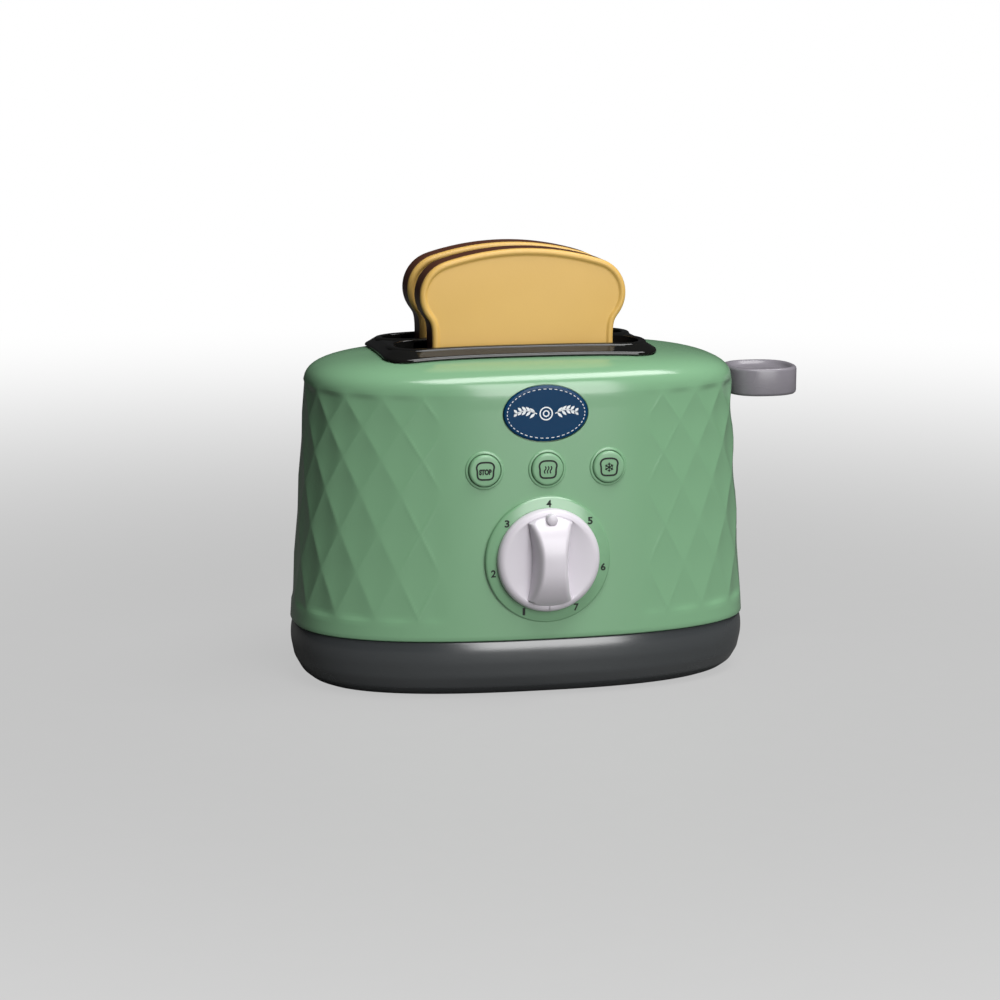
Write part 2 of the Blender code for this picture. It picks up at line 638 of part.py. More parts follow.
def screw_cross(piece, place, seat, axis="Z", side=1):
    """Cut the driver's cross into a screw's head."""
    head_top = seat - side * SCREW_HEAD_DEPTH
    start, end = head_top - side * OVERRUN, head_top + side * SCREW_SLOT_DEPTH
    reach, half = SCREW_HEAD_RADIUS * 0.55, SCREW_SLOT_WIDTH / 2
    u, v = place
    arms = [(reach, half), (half, half), (half, reach), (-half, reach), (-half, half), (-reach, half),
            (-reach, -half), (-half, -half), (-half, -reach), (half, -reach), (half, -half), (reach, -half)]
    cut(piece, prism([(u + a, v + b) for a, b in arms], start, end, axis))


def make_fasteners(steel):
    """Screws of the underside: four for the casing and two for the chute."""
    for group, places in (("base_screw", boss_places()), ("chute_screw", leg_screw_places())):
        for number, place in enumerate(places, start=1):
            piece = add_piece(f"{group}_{number}", screw(place, screw_seat(), SCREW_LENGTH), steel)
            screw_cross(piece, place, screw_seat())


def make_slot_frame(black):
    """Black frame that follows the crown, with two slots and a collar below."""
    collar_length, collar_depth = collar_half_sizes()
    centre = (SLOT_X, 0.0)
    collar = rounded_rectangle(collar_length, collar_depth, COLLAR_CORNER, centre, side_steps=FRAME_SIDE_STEPS)
    collar_bottom = SHOULDER_HEIGHT + CROWN_RISE - COLLAR_DEPTH

    def level(outline, lift):
        return np.column_stack([outline, crown_height(outline[:, 0], outline[:, 1]) + lift])

    def flange(inset):
        corner = FRAME_CORNER - min(inset, FRAME_CORNER * 0.8)
        return rounded_rectangle(FRAME_HALF_LENGTH - inset, FRAME_HALF_DEPTH - inset, corner, centre,
                                 side_steps=FRAME_SIDE_STEPS)

    rings = [np.column_stack([collar, np.full(len(collar), collar_bottom)]), level(collar, SEAT_GAP),
             level(flange(0.0), SEAT_GAP), level(flange(0.0), FRAME_RISE - FRAME_EDGE)]
    for turn in (math.radians(30), math.radians(60), math.radians(90)):
        inset = FRAME_EDGE * (1 - math.cos(turn))
        lift = FRAME_RISE - FRAME_EDGE + FRAME_EDGE * math.sin(turn)
        rings.append(level(flange(inset), lift))
    rings.append(level(flange(FRAME_HALF_DEPTH / 2), FRAME_RISE))
    solid = lofted(rings)
    bmesh.ops.triangulate(solid, faces=solid.faces)
    frame = add_piece("slot_frame", solid, black)

    hollow = rounded_rectangle(collar_length - COLLAR_WALL, collar_depth - COLLAR_WALL, SEAT_GAP, centre, 1)
    cut(frame, prism(hollow, collar_bottom - OVERRUN, frame_plate_bottom()))
    for side in (-1, 1):
        slot = rounded_rectangle(SLOT_HALF_LENGTH, SLOT_HALF_WIDTH, SLOT_CORNER, (SLOT_X, side * SLOT_PITCH / 2))
        cut(frame, prism(slot, collar_bottom, SHOULDER_HEIGHT + CROWN_RISE + FRAME_RISE + OVERRUN))
    return frame


def frame_plate_bottom():
    """Underside of the frame's plate, inside its collar."""
    return SHOULDER_HEIGHT + CROWN_RISE + FRAME_RISE - FRAME_PLATE


def make_bread_chute(dark):
    """Two-pocket guide box on four legs, with the rods' lugs at its right end."""
    half_length = POCKET_HALF_LENGTH + CHUTE_WALL
    half_depth = SLOT_PITCH / 2 + POCKET_HALF_WIDTH + CHUTE_WALL
    top = frame_plate_bottom() - SEAT_GAP
    right = SLOT_X + half_length
    chute = add_piece("bread_chute", box((SLOT_X - half_length, -half_depth, CHUTE_BOTTOM),
                                         (right, half_depth, top)), dark)
    for x, y in leg_places():
        half = CHUTE_LEG / 2
        join(chute, box((x - half, y - half, leg_bottom(x, y)), (x + half, y + half, CHUTE_BOTTOM + BITE)))
    lug_end = ROD_X + ROD_RADIUS + SEAT_GAP + LUG_END_WALL
    for side in (-1, 1):
        for lug_bottom in (LOWER_LUG_HEIGHT, UPPER_LUG_HEIGHT):
            low_y, high_y = sorted((side * (ROD_Y - LUG_WIDTH / 2), side * (ROD_Y + LUG_WIDTH / 2)))
            join(chute, box((right - CHUTE_WALL / 2, low_y, lug_bottom), (lug_end, high_y, lug_bottom + LUG_THICKNESS)))
    for lug_bottom in rocker_lug_heights():
        join(chute, box((ROCKER_X - PIN_LUG_HALF_WIDTH, ROCKER_Y - PIN_LUG_HALF_WIDTH, lug_bottom),
                        (ROCKER_X + PIN_LUG_HALF_WIDTH, -half_depth + CHUTE_WALL / 2, lug_bottom + PIN_LUG)))

    gap = SLOT_PITCH - 2 * POCKET_HALF_WIDTH - 2 * CHUTE_WALL
    for side in (-1, 1):
        middle = side * SLOT_PITCH / 2
        cut(chute, box((SLOT_X - POCKET_HALF_LENGTH, middle - POCKET_HALF_WIDTH, CHUTE_BOTTOM - OVERRUN),
                       (SLOT_X + POCKET_HALF_LENGTH, middle + POCKET_HALF_WIDTH, top + OVERRUN)))
        slot_half = WEB_WIDTH / 2 + RUNNING_GAP
        cut(chute, box((right - CHUTE_WALL - OVERRUN, middle - slot_half, CHUTE_BOTTOM - OVERRUN),
                       (right + OVERRUN, middle + slot_half, BREAD_BOTTOM + RUNNING_GAP)))
        bore = ROD_RADIUS + SEAT_GAP
        rod_place = (ROD_X, side * ROD_Y)
        cut(chute, turned([(LOWER_LUG_HEIGHT + LUG_THICKNESS / 3, bore),
                           (UPPER_LUG_HEIGHT + LUG_THICKNESS + OVERRUN, bore)], rod_place, "Z", SMALL_SIDES))
    cut(chute, box((SLOT_X - POCKET_HALF_LENGTH, -gap / 2, CHUTE_BOTTOM - OVERRUN),
                   (SLOT_X + POCKET_HALF_LENGTH, gap / 2, top - CHUTE_WALL)))
    pin_bore = PIN_RADIUS + SEAT_GAP
    pin_low, pin_high = rocker_lug_heights()
    cut(chute, turned([(pin_low + PIN_LUG / 3, pin_bore), (pin_high + PIN_LUG + OVERRUN, pin_bore)],
                      (ROCKER_X, ROCKER_Y), "Z", SMALL_SIDES))
    pilot = SCREW_SHANK_RADIUS + SEAT_GAP
    for x, y in leg_screw_places():
        cut(chute, turned([(leg_bottom(x, y) - OVERRUN, pilot),
                           (screw_seat() + SCREW_LENGTH + RUNNING_GAP, pilot)], (x, y), "Z", SMALL_SIDES))
    return chute


def leg_bottom(x, y):
    """A leg stands on the base's floor, or on a pad where a screw holds it."""
    if (x, y) in leg_screw_places():
        return boss_bottom()
    return BASE_FLOOR + SEAT_GAP


def rocker_lug_heights():
    """Undersides of the two lugs that hold the rocker's pin."""
    return (ROCKER_BOTTOM - RUNNING_GAP - PIN_LUG, ROCKER_BOTTOM + ROCKER_HEIGHT + RUNNING_GAP)


def make_rods_and_springs(steel):
    """Two guide rods with the coil springs that lift the carriage."""
    bottom = LOWER_LUG_HEIGHT + LUG_THICKNESS / 3 + SEAT_GAP
    top = UPPER_LUG_HEIGHT + LUG_THICKNESS
    spring_low = LOWER_LUG_HEIGHT + LUG_THICKNESS + SEAT_GAP
    for side, name in ((-1, "front"), (1, "rear")):
        place = (ROD_X, side * ROD_Y)
        profile = [(bottom, ROD_RADIUS - ROD_CHAMFER), (bottom + ROD_CHAMFER, ROD_RADIUS),
                   (top - ROD_CHAMFER, ROD_RADIUS), (top, ROD_RADIUS - ROD_CHAMFER)]
        add_piece(f"guide_rod_{name}", turned(profile, place, "Z", SMALL_SIDES), steel)
        coil = helix(SPRING_RADIUS, SPRING_WIRE_RADIUS, SPRING_TURNS, spring_low, BEAM_BOTTOM - SEAT_GAP, place, "Z")
        add_piece(f"lift_spring_{name}", coil, steel)


def make_carriage(white, carrier):
    """Crossbeam on the rods, two bread trays on arms, and the neck to the paddle."""
    beam_half = ROD_Y + LUG_WIDTH / 2
    beam_top = BEAM_BOTTOM + BEAM_HEIGHT
    beam_end = BEAM_START + BEAM_LENGTH
    carriage = add_piece("carriage", box((BEAM_START, -beam_half, BEAM_BOTTOM), (beam_end, beam_half, beam_top)),
                         white, carrier)
    tray_top = BREAD_BOTTOM - SEAT_GAP
    tray_bottom = tray_top - TRAY_THICKNESS
    left = SLOT_X - POCKET_HALF_LENGTH + RUNNING_GAP * 2
    right = SLOT_X + POCKET_HALF_LENGTH - RUNNING_GAP * 2
    web_start = right - (right - left) * WEB_SHARE
    web_bottom = tray_bottom - WEB_DEPTH
    arm_end = BEAM_START + WEB_WIDTH
    for side in (-1, 1):
        middle = side * SLOT_PITCH / 2
        join(carriage, box((left, middle - TRAY_HALF_WIDTH, tray_bottom), (right, middle + TRAY_HALF_WIDTH, tray_top)))
        arm = [(web_start, tray_bottom + BITE), (web_start + WEB_DEPTH, web_bottom), (arm_end, web_bottom),
               (arm_end, BEAM_BOTTOM + BITE), (BEAM_START - WEB_WIDTH, BEAM_BOTTOM + BITE),
               (BEAM_START - WEB_WIDTH, tray_top - BITE), (right - BITE, tray_top - BITE),
               (right - BITE, tray_bottom + BITE)]
        join(carriage, prism(arm, middle - WEB_WIDTH / 2, middle + WEB_WIDTH / 2, "Y"))
        join(carriage, box((BEAM_START - WEB_WIDTH, middle - WEB_WIDTH / 2, tray_top - TRAY_THICKNESS),
                           (BEAM_START + WEB_WIDTH, middle + WEB_WIDTH / 2, beam_top - WEB_WIDTH)))
    join(carriage, box((BEAM_START + BITE, -NECK_HALF_WIDTH, beam_top - BITE),
                       (neck_end(), NECK_HALF_WIDTH, NECK_BOTTOM + NECK_HEIGHT)))
    cut(carriage, box((beam_end, -NECK_HALF_WIDTH - OVERRUN, beam_top - OVERRUN),
                      (neck_end() + OVERRUN, NECK_HALF_WIDTH + OVERRUN, NECK_BOTTOM)))
    catch_half = ROCKER_HOOK_WIDTH / 2
    middle_x = (BEAM_START + beam_end) / 2
    join(carriage, box((middle_x - catch_half, -beam_half - CATCH_DEPTH, beam_top - CATCH_HEIGHT),
                       (middle_x + catch_half, -beam_half + BITE, beam_top)))
    for side in (-1, 1):
        bore = ROD_RADIUS + RUNNING_GAP * 0.6
        cut(carriage, turned([(BEAM_BOTTOM - OVERRUN, bore), (beam_top + OVERRUN, bore)],
                             (ROD_X, side * ROD_Y), "Z", SMALL_SIDES))
    return carriage


def neck_end():
    """Outer end of the neck, inside the paddle."""
    return PADDLE_END - PADDLE_LENGTH + NECK_GRIP


def paddle_outline(inset):
    """Rounded plan of the paddle, |u / a|^n + |v / b|^n = 1."""
    turn = 2 * np.pi * np.arange(ROUND_SIDES) / ROUND_SIDES
    power = 2 / PADDLE_EXPONENT
    half_length, half_depth = PADDLE_LENGTH / 2 - inset, PADDLE_DEPTH / 2 - inset
    x = half_length * np.sign(np.cos(turn)) * np.abs(np.cos(turn)) ** power
    y = half_depth * np.sign(np.sin(turn)) * np.abs(np.sin(turn)) ** power
    return np.stack([PADDLE_END - PADDLE_LENGTH / 2 + x, y], axis=-1)


def make_lever_paddle(pale, carrier):
    """Oval paddle with round edges and a dished top, pushed onto the neck."""
    top = PADDLE_BOTTOM + PADDLE_THICKNESS
    levels = ((PADDLE_EDGE, PADDLE_BOTTOM), (PADDLE_EDGE * 0.3, PADDLE_BOTTOM + PADDLE_EDGE * 0.3),
              (0.0, PADDLE_BOTTOM + PADDLE_EDGE), (0.0, top - PADDLE_EDGE),
              (PADDLE_EDGE * 0.3, top - PADDLE_EDGE * 0.3), (PADDLE_EDGE, top),
              (PADDLE_EDGE + PADDLE_RIM / 2, top), (PADDLE_EDGE + PADDLE_RIM, top - PADDLE_DISH * 0.7),
              (PADDLE_EDGE + 2 * PADDLE_RIM, top - PADDLE_DISH))
    rings = [np.column_stack([paddle_outline(inset), np.full(ROUND_SIDES, height)]) for inset, height in levels]
    paddle = add_piece("lever_paddle", lofted(rings), pale, carrier)
    half = NECK_HALF_WIDTH + SEAT_GAP
    cut(paddle, box((PADDLE_END - PADDLE_LENGTH - OVERRUN, -half, NECK_BOTTOM - SEAT_GAP),
                    (neck_end() + SEAT_GAP, half, NECK_BOTTOM + NECK_HEIGHT + SEAT_GAP)))
    return paddle


def bread_outline(inset=0.0):
    """Outline of a slice in (x, z) from its bottom's middle: straight sides, lobes and an arched top."""
    lobe_x = BREAD_WIDTH / 2 - LOBE_RADIUS
    lobe_z = BREAD_HEIGHT - LOBE_DROP
    radius = LOBE_RADIUS - inset
    neck = BREAD_NECK_WIDTH / 2 - inset
    foot = max(BREAD_FOOT_RADIUS - inset, BREAD_FOOT_RADIUS / 4)
    half = []
    for step in range(4):
        turn = math.radians(-90 + 30 * step)
        half.append((neck - foot + foot * math.cos(turn), inset + foot + foot * math.sin(turn)))
    lobe_low = math.radians(-48)
    half.append((neck, lobe_z + radius * math.sin(lobe_low) - 0.35 * LOBE_RADIUS))
    for step in range(11):
        turn = lobe_low + step / 10 * (math.radians(73) - lobe_low)
        half.append((lobe_x + radius * math.cos(turn), lobe_z + radius * math.sin(turn)))
    end_x, end_z = half[-1]
    top = BREAD_HEIGHT - inset
    for share in (0.75, 0.5, 0.25):
        half.append((end_x * share, top - (top - end_z) * share ** 2))
    mirrored = [(-x, z) for x, z in half[::-1]]
    return np.array(half + [(0.0, top)] + mirrored)


def make_bread(tan, brown, carrier, name, side):
    """One slice: a tan face plate with a raised rim on a hollow brown crust half."""
    place = np.array([BREAD_X, BREAD_BOTTOM])
    depth = BREAD_FACE_DEPTH + SEAT_GAP + BREAD_CRUST_DEPTH
    front = BREAD_Y + side * BREAD_PITCH / 2 - depth / 2
    face_back = front + BREAD_FACE_DEPTH
    face = add_piece(f"{name}_face", prism(bread_outline() + place, front, face_back, "Y"), tan, carrier)
    cut(face, prism(bread_outline(BREAD_RIM) + place, front - OVERRUN, front + BREAD_SINK, "Y"))
    crust_front = face_back + SEAT_GAP
    crust = add_piece(f"{name}_crust", prism(bread_outline() + place, crust_front, front + depth, "Y"), brown, carrier)
    cut(crust, prism(bread_outline(CRUST_WALL) + place, crust_front - OVERRUN, front + depth - CRUST_WALL, "Y"))


def badge_shape(margin=0.0):
    """Oval outline of the badge in (x, z)."""
    turn = 2 * np.pi * np.arange(ROUND_SIDES) / ROUND_SIDES
    return np.stack([BADGE_X + (BADGE_HALF_LENGTH + margin) * np.cos(turn),
                     BADGE_HEIGHT + (BADGE_HALF_HEIGHT + margin) * np.sin(turn)], axis=-1)


def make_badge(blue):
    """Oval plate glued into a shallow recess."""
    back = front_face(0.0, BADGE_HEIGHT) + BADGE_SINK - SEAT_GAP
    add_piece("badge_plate", prism(badge_shape(), back - BADGE_THICKNESS, back, "Y"), blue)


def dial_shaft_outline(radius):
    """Round outline with one flat, centred on the dial's axis."""
    flat = radius * SHAFT_FLAT_SHARE
    points = circle(radius, (0.0, 0.0), ROUND_SIDES)
    points[:, 1] = np.minimum(points[:, 1], flat)
    return points + np.array([0.0, DIAL_HEIGHT])


def star_front():
    """Front face of the star wheel."""
    return front_face(0.0, DIAL_HEIGHT, WALL) + BUSH_DEPTH + SEAT_GAP


def make_dial(pale, white, steel, carrier):
    """Knob with a waisted grip, its star wheel, washer and screw."""
    centre = (0.0, DIAL_HEIGHT)
    back = -DIAL_BOSS_FACE - RUNNING_GAP
    profile = [(back - height_share * KNOB_HEIGHT, KNOB_RADIUS * radius_share)
               for height_share, radius_share in KNOB_DOME_SHARES]
    knob = add_piece("dial_knob", turned(profile, centre, "Y"), pale, carrier)
    shaft_end = star_front() + STAR_THICKNESS - SEAT_GAP
    join(knob, prism(circle(SHAFT_RADIUS, centre, SMALL_SIDES), back - BITE, star_front() - SEAT_GAP, "Y"))
    join(knob, prism(dial_shaft_outline(SHAFT_RADIUS * 0.97), star_front() - SEAT_GAP - BITE, shaft_end, "Y"))
    reach = KNOB_RADIUS + OVERRUN
    swell = (GRIP_END_WIDTH - GRIP_WAIST) / 2
    for side in (-1, 1):
        curve = []
        for step in range(13):
            share = -1 + 2 * step / 12
            curve.append((side * (GRIP_WAIST / 2 + swell * share ** 2), DIAL_HEIGHT + share * reach))
        outline = curve + [(side * reach, DIAL_HEIGHT + reach), (side * reach, DIAL_HEIGHT - reach)]
        cut(knob, prism(outline, back - KNOB_HEIGHT - OVERRUN, back - KNOB_FLOOR, "Y"))
    pointer_height = DIAL_HEIGHT + KNOB_RADIUS * POINTER_SHARE
    pointer_face = back - KNOB_HEIGHT * POINTER_HEIGHT_SHARE
    join(knob, turned([(pointer_face + POINTER_DEPTH, POINTER_RADIUS), (pointer_face, POINTER_RADIUS),
                       (pointer_face - POINTER_RISE, POINTER_RADIUS / 2)],
                      (0.0, pointer_height), "Y", SMALL_SIDES))
    pilot = SCREW_SHANK_RADIUS + SEAT_GAP
    cut(knob, turned([(shaft_end - PILOT_DEPTH, pilot), (shaft_end + OVERRUN, pilot)], centre, "Y", SMALL_SIDES))

    teeth = []
    steps = STAR_TEETH * 6
    for step in range(steps):
        turn = 2 * math.pi * step / steps + math.pi / 2
        radius = STAR_RADIUS - STAR_NOTCH * (0.5 - 0.5 * math.cos(STAR_TEETH * (turn - math.pi / 2)))
        teeth.append((radius * math.cos(turn), DIAL_HEIGHT + radius * math.sin(turn)))
    star = add_piece("dial_star_wheel", prism(teeth, star_front(), star_front() + STAR_THICKNESS, "Y"), white, carrier)
    cut(star, prism(dial_shaft_outline(SHAFT_RADIUS + SEAT_GAP), star_front() - OVERRUN,
                    star_front() + STAR_THICKNESS + OVERRUN, "Y"))

    washer_front = star_front() + STAR_THICKNESS + SEAT_GAP
    washer = add_piece("dial_washer", turned([(washer_front, WASHER_RADIUS),
                                              (washer_front + WASHER_THICKNESS, WASHER_RADIUS)],
                                             centre, "Y", ROUND_SIDES), steel, carrier)
    hole = SCREW_SHANK_RADIUS + SEAT_GAP
    cut(washer, turned([(washer_front - OVERRUN, hole), (washer_front + OVERRUN, hole)], centre, "Y", SMALL_SIDES))
    seat = washer_front + WASHER_THICKNESS + SEAT_GAP
    length = PILOT_DEPTH - RUNNING_GAP
    piece = add_piece("dial_screw", screw(centre, seat, length, "Y", -1), steel, carrier)
    screw_cross(piece, centre, seat, "Y", -1)


def click_boss_place():
    """Where the click spring is screwed to the casing, below and right of the star wheel."""
    height = DIAL_HEIGHT - STAR_RADIUS - SEAT_GAP - CLICK_THICKNESS - CLICK_TAB / 2
    return CLICK_REACH - CLICK_TAB / 2, height


def make_click_spring(steel):
    """Bent leaf: a tab screwed to its boss and a strip under the star wheel's teeth."""
    x, height = click_boss_place()
    front = star_front()
    tab_half = CLICK_TAB / 2
    leaf_top = DIAL_HEIGHT - STAR_RADIUS - SEAT_GAP
    leaf = add_piece("click_spring", box((x - tab_half, front, height - tab_half),
                                         (x + tab_half, front + CLICK_THICKNESS, leaf_top)), steel)
    join(leaf, box((-CLICK_TAB / 2, front, leaf_top - CLICK_THICKNESS), (x + tab_half, front + STAR_THICKNESS, leaf_top)))
    hole = SCREW_SHANK_RADIUS + SEAT_GAP
    cut(leaf, turned([(front - OVERRUN, hole), (front + CLICK_THICKNESS + OVERRUN, hole)], (x, height), "Y", SMALL_SIDES))
    seat = front + CLICK_THICKNESS + SEAT_GAP
    length = seat - front_face(x, height, WALL) + WALL / 4
    piece = add_piece("click_spring_screw", screw((x, height), seat, length, "Y", -1), steel)
    screw_cross(piece, (x, height), seat, "Y", -1)


def button_places():
    return (-BUTTON_SPACING, 0.0, BUTTON_SPACING)


def button_levels(x):
    """Places in Y of a button's flange, whose far corner rests against the curved wall."""
    corner = front_face(abs(x) + BUTTON_FLANGE_RADIUS, BUTTON_HEIGHT + BUTTON_FLANGE_RADIUS, WALL)
    flange_front = corner + SEAT_GAP
    return flange_front, flange_front + BUTTON_FLANGE


def button_plate_front():
    """Front face of the plate behind the buttons."""
    return button_levels(0.0)[1] + BUTTON_SPRING_ROOM


def stem_end():
    return button_plate_front() + PLATE_THICKNESS + BUTTON_STEM_PROUD


def make_buttons(green, steel, white, carriers):
    """Three flanged buttons with their springs, and the plate that holds them in."""
    plate_front = button_plate_front()
    plate_back = plate_front + PLATE_THICKNESS
    plate = add_piece("button_plate", prism(rounded_rectangle(PLATE_HALF_LENGTH, PLATE_HALF_HEIGHT,
                                                              PLATE_HALF_HEIGHT / 3, (0.0, BUTTON_HEIGHT), 3),
                                            plate_front, plate_back, "Y"), white)
    for name, x, carrier in zip(BUTTON_NAMES, button_places(), carriers):
        centre = (x, BUTTON_HEIGHT)
        outer = front_face(x, BUTTON_HEIGHT)
        flange_front, flange_back = button_levels(x)
        profile = [(outer - BUTTON_PROUD, BUTTON_RADIUS - BUTTON_EDGE),
                   (outer - BUTTON_PROUD + BUTTON_EDGE * 0.3, BUTTON_RADIUS - BUTTON_EDGE * 0.3),
                   (outer - BUTTON_PROUD + BUTTON_EDGE, BUTTON_RADIUS), (flange_front, BUTTON_RADIUS),
                   (flange_front, BUTTON_FLANGE_RADIUS), (flange_back, BUTTON_FLANGE_RADIUS),
                   (flange_back, BUTTON_STEM_RADIUS), (stem_end(), BUTTON_STEM_RADIUS)]
        add_piece(f"button_{name}", turned(profile, centre, "Y"), green, carrier)
        coil = helix(BUTTON_COIL_RADIUS, BUTTON_WIRE_RADIUS, BUTTON_COIL_TURNS,
                     flange_back + BUTTON_STROKE + SEAT_GAP, plate_front - SEAT_GAP, centre, "Y")
        add_piece(f"button_spring_{name}", coil, steel)
        hole = BUTTON_STEM_RADIUS + RUNNING_GAP
        cut(plate, turned([(plate_front - OVERRUN, hole), (plate_back + OVERRUN, hole)], centre, "Y", SMALL_SIDES))
    for number, side in enumerate((-1, 1), start=1):
        place = (side * BUTTON_SPACING / 2, BUTTON_HEIGHT)
        hole = SCREW_SHANK_RADIUS + SEAT_GAP
        cut(plate, turned([(plate_front - OVERRUN, hole), (plate_back + OVERRUN, hole)], place, "Y", SMALL_SIDES))
        seat = plate_back + SEAT_GAP
        length = seat - front_face(place[0], BUTTON_HEIGHT, WALL) + WALL / 4
        piece = add_piece(f"button_plate_screw_{number}", screw(place, seat, length, "Y", -1), steel)
        screw_cross(piece, place, seat, "Y", -1)


def make_release_rocker(white, steel, carrier):
    """Rocker on an upright pin: a tab behind the stop button's stem, a hook by the catch."""
    top = ROCKER_BOTTOM + ROCKER_HEIGHT
    hub = [(ROCKER_BOTTOM, ROCKER_HUB_RADIUS), (top, ROCKER_HUB_RADIUS)]
    rocker = add_piece("release_rocker", turned(hub, (ROCKER_X, ROCKER_Y), "Z"), white, carrier)
    tab_front = stem_end() + SEAT_GAP
    tab_back = tab_front + ROCKER_THICKNESS
    stop_x = button_places()[0]
    hook_x = BEAM_START + BEAM_LENGTH / 2
    hook_back = -(ROD_Y + LUG_WIDTH / 2 + CATCH_DEPTH + RUNNING_GAP)
    hook_front = hook_back - ROCKER_HOOK_THICKNESS
    half = ROCKER_THICKNESS / 2
    bar = [(stop_x - ROCKER_TAB_HALF_WIDTH, tab_front), (stop_x + ROCKER_TAB_HALF_WIDTH, tab_front),
           (ROCKER_X, ROCKER_Y - half), (hook_x - ROCKER_HOOK_WIDTH / 2, hook_front),
           (hook_x + ROCKER_HOOK_WIDTH / 2, hook_front), (hook_x + ROCKER_HOOK_WIDTH / 2, hook_back),
           (hook_x - ROCKER_HOOK_WIDTH / 2, hook_back), (ROCKER_X, ROCKER_Y + half),
           (stop_x + ROCKER_TAB_HALF_WIDTH, tab_back), (stop_x - ROCKER_TAB_HALF_WIDTH, tab_back)]
    join(rocker, prism(bar, ROCKER_BOTTOM + BITE, top - BITE))
    join(rocker, box((stop_x - ROCKER_TAB_HALF_WIDTH, tab_front, ROCKER_BOTTOM + 2 * BITE),
                     (stop_x + ROCKER_TAB_HALF_WIDTH, tab_back, BUTTON_HEIGHT + ROCKER_TAB_HALF_WIDTH)))
    hook_bottom = BEAM_BOTTOM + BEAM_HEIGHT - TRAVEL + RUNNING_GAP
    join(rocker, box((hook_x - ROCKER_HOOK_WIDTH / 2, hook_front, hook_bottom),
                     (hook_x + ROCKER_HOOK_WIDTH / 2, hook_back, top - 2 * BITE)))
    bore = PIN_RADIUS + RUNNING_GAP * 0.6
    cut(rocker, turned([(ROCKER_BOTTOM - OVERRUN, bore), (top + OVERRUN, bore)], (ROCKER_X, ROCKER_Y), "Z", SMALL_SIDES))
    pin_low, pin_high = rocker_lug_heights()
    pin = [(pin_low + PIN_LUG / 3 + SEAT_GAP, PIN_RADIUS), (pin_high + PIN_LUG, PIN_RADIUS)]
    add_piece("rocker_pin", turned(pin, (ROCKER_X, ROCKER_Y), "Z", SMALL_SIDES), steel)


def build():
    clear_scene()
    green = plastic("casing_green", 129, 173, 135, 0.26)
    button_green = plastic("button_green", 129, 173, 135, 0.28)
    grey = plastic("base_grey", 92, 96, 98, 0.25)
    black = plastic("frame_black", 26, 26, 24, 0.15)
    blue = plastic("badge_blue", 12, 52, 88, 0.30)
    pale = plastic("knob_lilac_white", 214, 209, 216, 0.30)
    lever_pale = plastic("lever_white", 206, 201, 209, 0.28)
    tan = plastic("toast_tan", 218, 180, 108, 0.38)
    brown = plastic("crust_brown", 98, 56, 37, 0.40)
    white = plastic("inner_white", 222, 222, 216, 0.45)
    dark = plastic("chute_dark", 46, 46, 48, 0.45)
    steel = plastic("steel", 176, 178, 182, 0.28, 1.0)

    lift = add_axis("carriage_slide", (ROD_X, 0.0, BEAM_BOTTOM))
    dial_axis = add_axis("dial_axis", (0.0, -DIAL_BOSS_FACE, DIAL_HEIGHT))
    rocker_axis = add_axis("rocker_axis", (ROCKER_X, ROCKER_Y, ROCKER_BOTTOM))
    button_axes = [add_axis(f"{name}_axis", (x, front_face(x, BUTTON_HEIGHT), BUTTON_HEIGHT))
                   for name, x in zip(BUTTON_NAMES, button_places())]

    make_base_tray(grey)
    make_body_shell(green)
    make_slot_frame(black)
    make_bread_chute(dark)
    make_badge(blue)
    make_fasteners(steel)
    make_rods_and_springs(steel)
    make_carriage(white, lift)
    make_lever_paddle(lever_pale, lift)
    for name, side in (("bread_front", -1), ("bread_rear", 1)):
        slice_axis = add_axis(f"{name}_slide", (BREAD_X, BREAD_Y + side * BREAD_PITCH / 2, BREAD_BOTTOM))
        make_bread(tan, brown, slice_axis, name, side)
    make_dial(pale, white, steel, dial_axis)
    make_click_spring(steel)
    make_buttons(button_green, steel, white, button_axes)
    make_release_rocker(white, steel, rocker_axis)


build()
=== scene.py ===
"""Looks of the toy pop-up toaster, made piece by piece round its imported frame.

Metres, +Z up. The dial and buttons face -Y and the lever is at the +X end.
"""
import math

import bpy
import numpy as np
from mathutils import Matrix


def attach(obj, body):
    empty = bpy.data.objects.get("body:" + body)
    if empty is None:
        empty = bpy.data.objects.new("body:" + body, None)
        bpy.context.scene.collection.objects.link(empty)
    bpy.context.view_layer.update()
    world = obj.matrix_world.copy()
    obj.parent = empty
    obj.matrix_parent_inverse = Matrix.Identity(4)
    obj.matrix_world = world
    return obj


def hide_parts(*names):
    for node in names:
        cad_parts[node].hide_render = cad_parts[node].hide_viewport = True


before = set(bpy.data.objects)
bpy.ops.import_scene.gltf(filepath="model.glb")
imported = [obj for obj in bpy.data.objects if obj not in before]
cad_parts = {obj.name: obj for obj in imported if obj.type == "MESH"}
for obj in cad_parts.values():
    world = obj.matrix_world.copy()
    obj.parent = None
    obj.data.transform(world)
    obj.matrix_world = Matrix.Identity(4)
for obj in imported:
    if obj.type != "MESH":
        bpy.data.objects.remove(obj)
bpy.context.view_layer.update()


# Tabletop, lamps and camera
# The toaster stands on a plain pale tabletop. A tall soft lamp stands in front of it and one
# hangs above and brightens its shoulder. The camera looks from the front left as the photo
# does.
CAMERA_PLACE = (-0.2266, -0.9560, 0.2437)
CAMERA_RIGHT = (0.9746, -0.2238, 0.0053)
CAMERA_UP = (0.0367, 0.1831, 0.9824)
CAMERA_LENS = 108.18
SENSOR_WIDTH = 36.0
FRONT_LAMP = {"place": (0.33, -1.33, 0.58), "size": (0.75, 1.15), "power": 14.2}
TOP_LAMP = {"place": (0.24, -0.34, 1.12), "size": (1.3, 0.44), "power": 14.0}
LAMP_AIM = (0.0, 0.0, 0.06)
ROOM_TINT = (0.93, 0.95, 1.0, 1.0)
